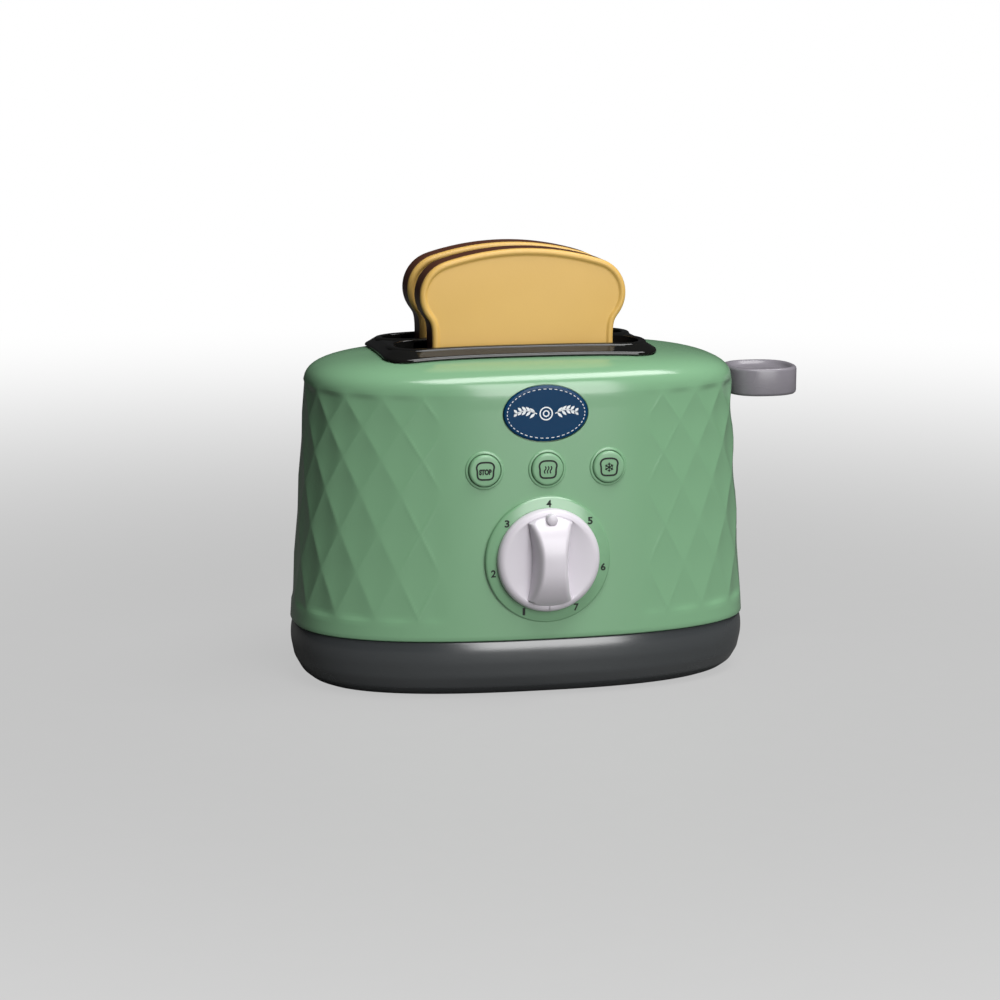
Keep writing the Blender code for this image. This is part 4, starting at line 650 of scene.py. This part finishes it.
features += [tube(BORE, SCREW_BOSS_RADIUS, *SCREW_BOSS_SPAN, place) for place in SCREW_PLACES[:4]]
features += [tube(BORE, PLATE_BOSS_RADIUS, front_face(x, BUTTON_HEIGHT, WALL) - OVERLAP, PLATE_BOSS_END,
                  (x, BUTTON_HEIGHT), "Y") for x in (-PLATE_BOSS_X, PLATE_BOSS_X)]
piece("dial_ring_and_collars", features, casing_green, "casing", crease=40)


# Slot frame
# A black frame pressed into the top, injection-moulded ABS polished to a high gloss. It
# follows the crown, and each of its two slots has a softly raised lip.
FRAME_HALF_SIZES = (0.04545, 0.0245)
FRAME_CORNER = 0.0090
FRAME_RISE = 0.0030
FRAME_PROFILE = ((0.0, 0.0009), (0.00008, 0.00115), (0.00025, 0.00135), (0.00055, 0.00152),
                 (0.0010, 0.00172), (0.0018, 0.00210), (0.0028, 0.00262), (0.0034, 0.00290), (0.0040, 0.0030))
FRAME_PLATE_BOTTOM = 0.1085
SLOT_PITCH = 0.021
SLOT_HALF_SIZES = (0.0406, 0.0084)
SLOT_CORNER = 0.0080
FRAME_COLLAR_BOTTOM = 0.1027
FRAME_TOP_INSETS = (0.005, 0.008, 0.012, 0.016, 0.020, 0.0235)
HOLLOW_INSET = 0.0017
HOLLOW_CORNER = 0.0016
LIP_WIDTH = 0.0026
LIP_RISE = 0.00045
LIP_EDGE = 0.0006    # depth below the frame's top where the lip's curve starts
LIP_ROOT = 0.0024
LIP_ROOT_WIDTH = 0.0008


def on_crown(outline, lift):
    """An outline laid on the crown and raised by lift."""
    return np.column_stack([outline, crown_height(outline[:, 0], outline[:, 1]) + lift])


def around_slots(sizes, inset, corner, corner_steps=16, side_steps=24):
    """Rounded rectangle about the slots' middle, its half sizes less an inset."""
    return rounded_rectangle(sizes[0] - inset, sizes[1] - inset, corner, (SLOT_X, 0.0), corner_steps,
                             side_steps)


def frame_outline(inset):
    """The frame's outline moved inwards; its corners shrink with it to a fifth."""
    return around_slots(FRAME_HALF_SIZES, inset, FRAME_CORNER - min(inset, FRAME_CORNER * 0.8))


collar = around_slots(FRAME_COLLAR_SIZES, FIT, FRAME_COLLAR_CORNER)
rings = [at_height(collar, FRAME_COLLAR_BOTTOM), on_crown(collar, FIT), on_crown(frame_outline(0.0004), FIT),
         on_crown(frame_outline(0.0), FIT * 2)]
rings += [on_crown(frame_outline(inset), lift) for inset, lift in FRAME_PROFILE]
rings += [on_crown(frame_outline(inset), FRAME_RISE) for inset in FRAME_TOP_INSETS]
frame_black = moulded("frame_black", (22, 22, 21), 0.07, mottle=0.02, pits=0.004)
slot_frame = piece("glossy_slot_frame", [shell(rings)], frame_black, "casing", ["slot_frame"])
hollow = around_slots(FRAME_COLLAR_SIZES, HOLLOW_INSET, HOLLOW_CORNER, 4, 1)
carve(slot_frame, [prism(hollow, FRAME_COLLAR_BOTTOM - OVERCUT, FRAME_PLATE_BOTTOM)])
slots = [(SLOT_X, side * SLOT_PITCH / 2) for side in (-1, 1)]
carve(slot_frame, [prism(rounded_rectangle(*SLOT_HALF_SIZES, SLOT_CORNER, place), FRAME_COLLAR_BOTTOM,
                         CASING_TOP) for place in slots])
profile = [(0.0, -LIP_ROOT), (0.0, -LIP_EDGE)]
profile += [(LIP_WIDTH / 2 * (1 - math.cos(t)), -LIP_EDGE + (LIP_RISE + LIP_EDGE) * math.sin(t) ** 0.8)
            for t in np.radians((12, 25, 40, 60, 90, 120, 140, 155, 168))]
profile += [(LIP_WIDTH, -LIP_EDGE), (LIP_WIDTH, -2 * LIP_EDGE), (LIP_ROOT_WIDTH, -LIP_ROOT)]
lips = []
for place in slots:
    rings = []
    for out, lift in profile:
        path = rounded_rectangle(SLOT_HALF_SIZES[0] + out, SLOT_HALF_SIZES[1] + out, SLOT_CORNER + out,
                                 place, 24, 20)
        rings.append(on_crown(path, FRAME_RISE + lift))
    lips.append(shell(rings, wrap_rows=True))
piece("slot_lips", lips, frame_black, "casing", crease=60)


# Bread chute
# The dark two-pocket box under the slots, moulded ABS on four legs, seen only through the
# slots. Its shape comes straight from the frame.
def finish_node(name, material):
    """Give a piece of the frame its finish."""
    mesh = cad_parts[name].data
    mesh.materials.clear()
    mesh.materials.append(material)


chute_dark = moulded("chute_dark", (44, 44, 46), 0.42, pits=0.05, pit_size=0.0009)
finish_node("bread_chute", chute_dark)


# Bread slices
# Each slice is a tan face, moulded with a round raised rim, pressed onto a brown crust cup.
# Both are ABS with a fine even texture and stand loose on the carriage's trays.
BREAD_WIDTH = 0.0684
BREAD_NECK_WIDTH = 0.0600
BREAD_HEIGHT = 0.0615
LOBE_RADIUS = 0.0115
LOBE_DROP = 0.0150
LOBE_TURNS = (-48, 73)    # degrees where the lobe starts and ends
BREAD_FOOT_RADIUS = 0.0030
BREAD_FACE_DEPTH = 0.0016
BREAD_CRUST_DEPTH = 0.0093
BREAD_X = -0.0023
BREAD_Y = -0.0011
BREAD_PITCH = 0.0205
BREAD_BOTTOM = 0.0812
BREAD_COLUMNS = 300


def softened(values, spread):
    """Gaussian blur of a closed row of points, spread samples wide."""
    reach = int(3 * spread) + 1
    weights = np.exp(-0.5 * (np.arange(-reach, reach + 1) / spread) ** 2)
    weights /= weights.sum()
    return sum(weight * np.roll(values, k - reach, axis=0) for k, weight in enumerate(weights))


def bread_outline():
    """Slice in (x, z) from its bottom's middle, evenly spaced and with soft corners.

    Straight sides, a round lobe at each shoulder and a parabola z = top - drop * x^2 above.
    """
    lobe_x = BREAD_WIDTH / 2 - LOBE_RADIUS
    lobe_z = BREAD_HEIGHT - LOBE_DROP
    neck = BREAD_NECK_WIDTH / 2
    foot = BREAD_FOOT_RADIUS
    turn = np.radians(np.linspace(-90, 0, 8))
    corner = np.array([neck - foot, foot]) + foot * directions(turn)
    turn = np.radians(np.linspace(*LOBE_TURNS, 40))
    lobe = np.array([lobe_x, lobe_z]) + LOBE_RADIUS * directions(turn)
    waist = np.array([[neck, lobe[0, 1] - 0.35 * LOBE_RADIUS]])
    share = np.linspace(1, 0, 30)[1:, None]
    drop = (BREAD_HEIGHT - lobe[-1, 1]) * share ** 2
    top = np.concatenate([lobe[-1, 0] * share, BREAD_HEIGHT - drop], axis=-1)
    half_outline = np.concatenate([corner, waist, lobe, top])
    mirrored = half_outline[-2::-1] * (-1, 1)
    outline = np.concatenate([half_outline, mirrored])
    closed = np.concatenate([outline, outline[:1]])
    run = np.concatenate([[0], np.cumsum(np.hypot(*np.diff(closed, axis=0).T))])
    even = np.linspace(0, run[-1], BREAD_COLUMNS, endpoint=False)
    even_points = np.stack([np.interp(even, run, closed[:, k]) for k in (0, 1)], axis=-1)
    return softened(even_points, 1.6)


def inset_outline(outline, inset):
    """The outline moved inwards along its normals."""
    along = np.roll(outline, -1, axis=0) - np.roll(outline, 1, axis=0)
    along /= np.hypot(along[:, 0], along[:, 1])[:, None]
    return outline + inset * np.stack([-along[:, 1], along[:, 0]], axis=-1)


toast_tan = moulded("toast_tan", (219, 178, 98), 0.34, mottle=0.02, mottle_size=0.012, pits=0.08,
                    pit_size=0.0009, index=1.4)
crust_brown = moulded("crust_brown", (96, 54, 36), 0.36, mottle=0.05, mottle_size=0.008, pits=0.08,
                      pit_size=0.0009)
outline = bread_outline() + np.array([BREAD_X, BREAD_BOTTOM])
FACE_PROFILE = ((0.0, 0.0016), (0.0, 0.0011), (0.00010, 0.00074), (0.00030, 0.00042), (0.00058, 0.00019),
                (0.00088, 0.00005), (0.0012, 0.0), (0.00150, 0.00004), (0.00178, 0.00016), (0.00200, 0.00034),
                (0.00218, 0.00054), (0.0024, 0.00062), (0.0028, 0.0006))
CRUST_PROFILE = ((0.0, 0.0), (0.0, 0.0082), (0.00025, 0.0088), (0.0007, 0.0092), (0.0013, 0.0093))
for name, side in (("bread_front", -1), ("bread_rear", 1)):
    depth = BREAD_FACE_DEPTH + FIT + BREAD_CRUST_DEPTH
    front = BREAD_Y + side * BREAD_PITCH / 2 - depth / 2
    rings = [upright(inset_outline(outline, inset), front + y) for inset, y in FACE_PROFILE]
    piece(f"{name}_tan_face", [shell(rings)], toast_tan, name, [f"{name}_face"], crease=60)
    crust_front = front + BREAD_FACE_DEPTH + FIT
    rings = [upright(inset_outline(outline, inset), crust_front + y) for inset, y in CRUST_PROFILE]
    piece(f"{name}_brown_crust", [shell(rings)], crust_brown, name, [f"{name}_crust"],
          crease=60)


# Carriage
# The white crossbeam that carries both slices down, with a tray on an arm for each, and the
# flat neck that comes out of the casing's end. Moulded acetal, from the frame.
inner_white = moulded("inner_white", (222, 222, 216), 0.42, pits=0.03)
finish_node("carriage", inner_white)


# Lever paddle
# The oval handle pushed onto the neck: ABS with round edges, and a dished top inside a
# narrow rim. It is as pale as the knob; its darker grey colour is painted shade.
PADDLE_HALF_SIZE = 0.0120
PADDLE_X = 0.0832
PADDLE_BOTTOM = 0.0912
NECK_HOLE = ((0.0680, -0.0026, 0.0927), (0.0795, 0.0026, 0.0973))
PADDLE_PROFILE = ((0.0060, 0.0), (0.0011, 0.0), (0.00055, 0.00015), (0.00015, 0.00055), (0.0, 0.0011),
                  (0.0, 0.0083), (0.00012, 0.0088), (0.00045, 0.00915), (0.0009, 0.0093), (0.0014, 0.0093),
                  (0.0018, 0.0091), (0.0022, 0.0086), (0.0027, 0.0080), (0.0035, 0.0077), (0.0050, 0.0076))


def paddle_outline(inset, sides=128):
    """|u/a|^n + |v/b|^n = 1 about the paddle's middle."""
    curve = signed_power(circle(1.0, sides), 2 / PLAN_EXPONENT)
    return np.array([PADDLE_X, 0.0]) + (PADDLE_HALF_SIZE - inset) * curve


# Painted shade: a darker grey than the knob's pale colour, as if the paddle stood in shadow.
lever_white = moulded("lever_white", (132, 128, 135), 0.28, mottle=0.01, pits=0.02)
rings = [at_height(paddle_outline(inset), PADDLE_BOTTOM + rise) for inset, rise in PADDLE_PROFILE]
paddle = piece("oval_lever_paddle", [shell(rings)], lever_white, "carriage", ["lever_paddle"],
               crease=50)
carve(paddle, [block(*NECK_HOLE)], crease=50)


# Guide rods, lift springs, screws and washer
# Bright drawn steel rods and zinc-plated screws, and springs of thinner, darker wire. Their
# shapes come from the frame, where the lift springs shorten with the lever.
steel = moulded("steel", (184, 186, 190), 0.24, mottle=0.06, mottle_size=0.004, pits=0.04, metal=1.0)
spring_steel = moulded("spring_steel", (158, 160, 164), 0.30, mottle=0.08, mottle_size=0.003, pits=0.04,
                       metal=1.0)
for name in ("guide_rod_front", "guide_rod_rear", "rocker_pin", "dial_washer", "dial_screw",
             "click_spring_screw", "button_plate_screw_1", "button_plate_screw_2", "chute_screw_1",
             "chute_screw_2", *(f"base_screw_{k}" for k in (1, 2, 3, 4))):
    finish_node(name, steel)
for name in ("lift_spring_front", "lift_spring_rear", "click_spring",
             *(f"button_spring_{button}" for button in BUTTON_PLACES)):
    finish_node(name, spring_steel)


# Dial knob
# The pale knob, one ABS moulding: a low disc with a waisted grip across it, a smooth finger
# hollow each side, and a round bump that points at the number.
KNOB_BACK = DIAL_FACE - 0.0005
KNOB_RADIUS = 0.0168
KNOB_HEIGHT = 0.0095
KNOB_WALL = 0.0005    # upright part of the side, below its round edge
KNOB_RIM = 0.0027
RIM_ROUND = 0.0022    # how far the round edge reaches in
GRIP_WAIST = 0.0030
GRIP_SWELL = 0.0024
FLANK_WIDTH = 0.0025
HOLLOW_FLOOR = 0.0013
GRIP_SHARE = 0.86    # widest grip and crease as shares of the disc's reach there
CREASE_SHARE = 0.97
GRIP_CROWN = 0.0001
SHAFT_RADIUS = 0.0030
SHAFT_SPAN = (KNOB_BACK - 0.001, -0.0330)
POINTER_RADIUS = 0.0018
POINTER_OFFSET = 0.0138
POINTER_RISE = 0.0006
POINTER_DEPTHS = (0.0035, 0.0004)


def grip_rise(along):
    """Height of the grip's top: rim + (top - rim) * (1 - |v / R|^2.6)."""
    return KNOB_RIM + (KNOB_HEIGHT - KNOB_RIM) * (1 - np.abs(along / (KNOB_RADIUS - RIM_ROUND)) ** 2.6)


def knob_surface():
    """Knob's front and side as a grid of (across u, along v, rise h).

    The side rounds over into the rim as a quarter ellipse. A hollow each side sinks smoothly
    from there to the grip's foot, and the flank rises from it as sqrt(1 - t^2), so that it is steep
    in the crease and runs level into the grip. The grip's half width is waist + swell (v/R)^2.
    """
    rim_radius = KNOB_RADIUS - RIM_ROUND
    along = np.sin(np.linspace(-1, 1, 121) * (np.pi / 2 - 0.005)) * rim_radius
    reach = np.sqrt(rim_radius ** 2 - along ** 2)
    swell = GRIP_WAIST + GRIP_SWELL * (along / rim_radius) ** 2
    grip = np.minimum(swell, reach * GRIP_SHARE)
    crease = np.minimum(swell + FLANK_WIDTH, reach * CREASE_SHARE)
    top = grip_rise(along)
    floor = HOLLOW_FLOOR + (KNOB_RIM - HOLLOW_FLOOR) * np.abs(along / rim_radius) ** 2.5
    u, v, h = [reach * KNOB_RADIUS / rim_radius], [along * KNOB_RADIUS / rim_radius], [np.zeros_like(along)]
    for turn in np.radians(np.arange(0, 90, 10)):
        scale = (KNOB_RADIUS - RIM_ROUND * (1 - math.cos(turn))) / rim_radius
        u.append(reach * scale)
        v.append(along * scale)
        h.append(np.full_like(along, KNOB_WALL + (KNOB_RIM - KNOB_WALL) * math.sin(turn)))
    for share in np.linspace(1, 0, 20):
        u.append(crease + (reach - crease) * share)
        v.append(along)
        h.append(floor + (KNOB_RIM - floor) * (1 - (1 - share) ** 1.7) ** 1.2)
    for share in 1 - np.cos(np.radians(np.linspace(0, 90, 14)[1:])):
        u.append(crease + (grip - crease) * share)
        v.append(along)
        h.append(floor + (top - floor) * math.sqrt(1 - (1 - share) ** 2))
    for share in np.linspace(0.9, 0, 7):
        u.append(grip * share)
        v.append(along)
        h.append(top + GRIP_CROWN * (1 - share ** 2))
    u, v, h = np.array(u), np.array(v), np.array(h)
    return [np.concatenate([grid, sign * grid[-2::-1]]) for grid, sign in ((u, -1), (v, 1), (h, 1))]


across, along, rise = knob_surface()
knob_pale = moulded("knob_lilac_white", (214, 209, 216), 0.30, mottle=0.008, pits=0.02)
rings = np.stack([across.T, KNOB_BACK - rise.T, DIAL_HEIGHT + along.T], axis=-1)
shaft = turned([(y, SHAFT_RADIUS) for y in SHAFT_SPAN], (0.0, DIAL_HEIGHT), "Y")
pointer_face = KNOB_BACK - float(grip_rise(POINTER_OFFSET - POINTER_RADIUS))
profile = [(pointer_face + depth, POINTER_RADIUS) for depth in POINTER_DEPTHS]
profile += [(pointer_face - POINTER_RISE * math.sin(t), POINTER_RADIUS * math.cos(t) * 0.95 + 0.00005)
            for t in np.radians(np.linspace(0, 90, 8))]
pointer = turned(profile, (0.0, DIAL_HEIGHT + POINTER_OFFSET), "Y")
piece("waisted_dial_knob", [shell(rings), shaft, pointer], knob_pale, "dial",
      ["dial_knob"], crease=42)
finish_node("dial_star_wheel", inner_white)


# Numbers round the dial
# Dark numbers 1 to 7 printed on the raised ring, all upright, with 4 at the top. Their turns
# are uneven, as in the photo.
NUMBER_RADIUS = 0.0184
NUMBER_SIZE = (0.0016, 0.0024)
NUMBER_TURNS = (-154.4, -101.8, -48.0, 0.0, 48.0, 99.4, 149.5)
ONE_WIDTH = 0.55    # width of the 1 over that of the other numbers
PRINT_THICKNESS = 0.00006


def lettering(text, size, centre, face, weight=0.03):
    """Printed characters, size wide and high, slightly proud of a face that looks towards -Y."""
    curve = bpy.data.curves.new("lettering", "FONT")
    curve.body = text
    curve.size = 1.0
    curve.extrude = 0.02    # any thickness: it is set below
    curve.offset = weight
    source = bpy.data.objects.new("lettering", curve)
    bpy.context.scene.collection.objects.link(source)
    depsgraph = bpy.context.evaluated_depsgraph_get()
    mesh = bpy.data.meshes.new_from_object(source.evaluated_get(depsgraph))
    points = np.empty(len(mesh.vertices) * 3)
    mesh.vertices.foreach_get("co", points)
    points = points.reshape(-1, 3)
    faces = [list(p.vertices) for p in mesh.polygons]
    bpy.data.objects.remove(source, do_unlink=True)
    bpy.data.meshes.remove(mesh)
    low_corner, high_corner = points.min(axis=0), points.max(axis=0)
    middle = (low_corner + high_corner) / 2
    u, v = ((points[:, k] - middle[k]) * size[k] / (high_corner[k] - low_corner[k]) for k in (0, 1))
    w = np.where(points[:, 2] > 0, -PRINT_THICKNESS, PRINT_THICKNESS)
    return np.stack([centre[0] + u, face + w, centre[1] + v], axis=-1), faces


print_dark = moulded("print_dark", (8, 22, 13), 0.55, mottle=0.05, mottle_size=0.002)
numbers = []
for number, turn in enumerate(NUMBER_TURNS, start=1):
    centre = np.array(RING_CENTRE) + NUMBER_RADIUS * directions(math.radians(90 - turn))
    width = NUMBER_SIZE[0] * (ONE_WIDTH if number == 1 else 1.0)
    numbers.append(lettering(str(number), (width, NUMBER_SIZE[1]), centre, DIAL_FACE))
piece("dial_numbers", numbers, print_dark, "casing", crease=30)


# Buttons
# Three round keys in the casing's green with a soft round edge, each on a return spring. A
# printed slice of bread marks them: STOP in it, steam for toasting, a snowflake for frozen.
BUTTON_RADIUS = 0.00515
BUTTON_PROUD = 0.0014
BUTTON_EDGE = 0.0008
FLANGE_RADIUS = 0.0068
STEM_RADIUS = 0.0021
STEM_END = -0.0263
BUTTON_MIDDLE = 0.0008    # radius of the first ring of the button's flat face
FLANGE_THICKNESS = 0.0012
ICON_LINE = 0.00058
ICON_HALF_SIZES = (0.00286, 0.00265)
ICON_DROP = 0.0001
WORD_SIZE = (0.0041, 0.0019)
WORD_DROP = 0.0003
STEAM = {"half_height": 0.00115, "swing": 0.00026, "pitch": 0.00095, "line": 0.00040}
FLAKE = {"arm": 0.00155, "line": 0.00034, "twig_foot": 0.00080, "twig": 0.0006, "twig_line": 0.00028}


def ribbon(points, width, face, closed=False):
    """A printed line of even width along (x, z) points, slightly proud of a face."""
    points = np.asarray(points, dtype=float)
    if closed:
        along = np.roll(points, -1, axis=0) - np.roll(points, 1, axis=0)
    else:
        along = np.gradient(points, axis=0)
    along /= np.hypot(along[:, 0], along[:, 1])[:, None]
    normal = np.stack([-along[:, 1], along[:, 0]], axis=-1) * width / 2
    left, right = points + normal, points - normal
    rings = np.stack([upright(left, face + PRINT_THICKNESS), upright(left, face - PRINT_THICKNESS),
                      upright(right, face - PRINT_THICKNESS), upright(right, face + PRINT_THICKNESS)], axis=1)
    return shell(rings, wrap_rows=closed)


def slice_icon(centre, half_width, half_height):
    """Outline of a small slice, |u|^4 + |v|^4 = 1 with its upper part wider and its top arched."""
    u, v = signed_power(circle(1.0, 72), 0.5).T
    bulge = 1 + 0.10 * smoothstep((v - 0.15) / 0.25)
    arch = 1 + 0.10 * np.where(v > 0, 1 - u ** 2, 0)
    return np.array(centre) + np.stack([half_width * 0.92 * u * bulge, half_height * v * arch], axis=-1)


def icon_strokes(name, centre, face):
    """Lines inside the printed slice: three waves of steam, u = sin v, or a six-armed snowflake."""
    middle = np.array(centre)
    if name == "toast":
        shares = np.linspace(-1, 1, 24)
        wave = STEAM["swing"] * np.sin(shares * np.pi)
        rise = shares * STEAM["half_height"]
        return [ribbon(middle + np.stack([wave + shift, rise], axis=-1), STEAM["line"], face)
                for shift in (-STEAM["pitch"], 0, STEAM["pitch"])]
    strokes = []
    for turn in np.radians((30, 90, 150)):
        arm = directions(turn)
        points = [middle + arm * FLAKE["arm"] * share for share in (-1, 0, 1)]
        strokes.append(ribbon(points, FLAKE["line"], face))
        for way in (-1, 1):
            foot = middle + way * arm * FLAKE["twig_foot"]
            for aside in np.radians((-50, 50)):
                twig = way * directions(turn + aside) * FLAKE["twig"]
                strokes.append(ribbon([foot, foot + twig / 2, foot + twig], FLAKE["twig_line"], face))
    return strokes


button_green = moulded("button_green", (128, 172, 134), 0.26, mottle=0.008, pits=0.012)
turn = np.radians(np.linspace(0, 90, 7))
for name, x in BUTTON_PLACES.items():
    wall = float(front_face(x, BUTTON_HEIGHT))
    flange = float(front_face(abs(x) + FLANGE_RADIUS, BUTTON_HEIGHT + FLANGE_RADIUS, WALL)) + FIT
    face = wall - BUTTON_PROUD
    flange_back = flange + FLANGE_THICKNESS
    profile = [(face, BUTTON_MIDDLE), (face, BUTTON_RADIUS - BUTTON_EDGE)]
    profile += [(face + BUTTON_EDGE * (1 - math.cos(t)), BUTTON_RADIUS - BUTTON_EDGE * (1 - math.sin(t)))
                for t in turn[1:]]
    profile += [(flange, BUTTON_RADIUS), (flange, FLANGE_RADIUS), (flange_back, FLANGE_RADIUS),
                (flange_back, STEM_RADIUS), (STEM_END, STEM_RADIUS)]
    button = turned(profile, (x, BUTTON_HEIGHT), "Y", 96)
    piece(f"round_button_{name}", [button], button_green, f"{name}_button",
          [f"button_{name}"], crease=40)
    icon_centre = (x, BUTTON_HEIGHT - ICON_DROP)
    marks = [ribbon(slice_icon(icon_centre, *ICON_HALF_SIZES), ICON_LINE, face, closed=True)]
    if name == "stop":
        marks.append(lettering("STOP", WORD_SIZE, (x, BUTTON_HEIGHT - WORD_DROP), face, weight=0.07))
    else:
        marks += icon_strokes(name, icon_centre, face)
    piece(f"button_print_{name}", marks, print_dark, f"{name}_button", crease=30)
finish_node("button_plate", inner_white)
finish_node("release_rocker", inner_white)


# Badge
# A navy oval plate glued into its recess, with a bright bevelled edge. The print is a dashed
# ring, and a pair of leaf sprigs beside two small rings, in white.
BADGE_PROFILE = ((0.0, 0.0012), (0.0, 0.0004), (0.0001, 0.00015), (0.00035, 0.0), (0.001, 0.0))
BADGE_FACE = float(front_face(0.0, BADGE_HEIGHT)) + BADGE_SINK - FIT - BADGE_PROFILE[0][1]
DASHES = 44
DASH_INSET = 0.0011
DASH_LINE = 0.00022
SMALL_RING_RADII = (0.0020, 0.0009)
SMALL_RING_LINE = 0.0004
SPRIG_SPAN = (0.0030, 0.0104)
SPRIG_RISE = 0.0011
SPRIG_LINE = 0.00030
LEAF_SPAN = (0.0036, 0.0094)
LEAF_SHARES = (0.08, 0.88)    # where the first and last leaf stand on the stem's wave
LEAF_TILT = 0.75
LEAF_LENGTHS = (0.0024, 0.0022, 0.0020, 0.0018, 0.0016)
LEAF_HALF_WIDTH = 0.00042

badge_blue = moulded("badge_blue", (4, 54, 90), 0.24, mottle=0.04, mottle_size=0.012, pits=0.01, index=1.3)
badge_white = moulded("badge_white", (236, 240, 242), 0.35, mottle=0.03, mottle_size=0.002)
badge_centre = np.array([BADGE_X, BADGE_HEIGHT])


def badge_outline(turn, inset):
    """Points of the badge's outline, moved inwards."""
    return badge_centre + directions(turn) * (np.array(BADGE_HALF_SIZES) - inset)


turn = 2 * np.pi * np.arange(128) / 128
rings = [upright(badge_outline(turn, inset), BADGE_FACE + depth) for inset, depth in BADGE_PROFILE]
piece("oval_badge", [shell(rings)], badge_blue, "casing", ["badge_plate"], crease=60)
marks = []
for dash in range(DASHES):
    turn = 2 * np.pi * (dash + np.linspace(0.0, 0.5, 5)) / DASHES
    marks.append(ribbon(badge_outline(turn, DASH_INSET), DASH_LINE, BADGE_FACE))
for radius in SMALL_RING_RADII:
    marks.append(ribbon(badge_centre + circle(radius, 48), SMALL_RING_LINE, BADGE_FACE, closed=True))
for side in (-1, 1):
    along = np.linspace(*SPRIG_SPAN, 24)
    swing = SPRIG_RISE * np.sin((along - SPRIG_SPAN[0]) / (SPRIG_SPAN[1] - SPRIG_SPAN[0]) * np.pi)
    marks.append(ribbon(badge_centre + np.stack([side * along, swing], axis=-1), SPRIG_LINE, BADGE_FACE))
    leaves = zip(np.linspace(*LEAF_SPAN, 5), np.linspace(*LEAF_SHARES, 5), LEAF_LENGTHS)
    for place, stem_share, length in leaves:
        foot = np.array([side * place, SPRIG_RISE * math.sin(stem_share * math.pi)])
        for way in (-1, 1):
            aim = np.array([side * math.cos(LEAF_TILT), way * math.sin(LEAF_TILT)])
            across = np.array([-aim[1], aim[0]])
            share = np.linspace(0, 1, 9)
            spine = foot + aim * length * share[:, None]
            bulge = across * LEAF_HALF_WIDTH * np.sin(share * np.pi)[:, None]
            leaf = badge_centre + np.concatenate([spine + bulge, (spine - bulge)[-2:0:-1]])
            marks.append(prism(leaf, BADGE_FACE + PRINT_THICKNESS, BADGE_FACE - PRINT_THICKNESS, "Y"))
piece("badge_print", marks, badge_white, "casing", crease=30)
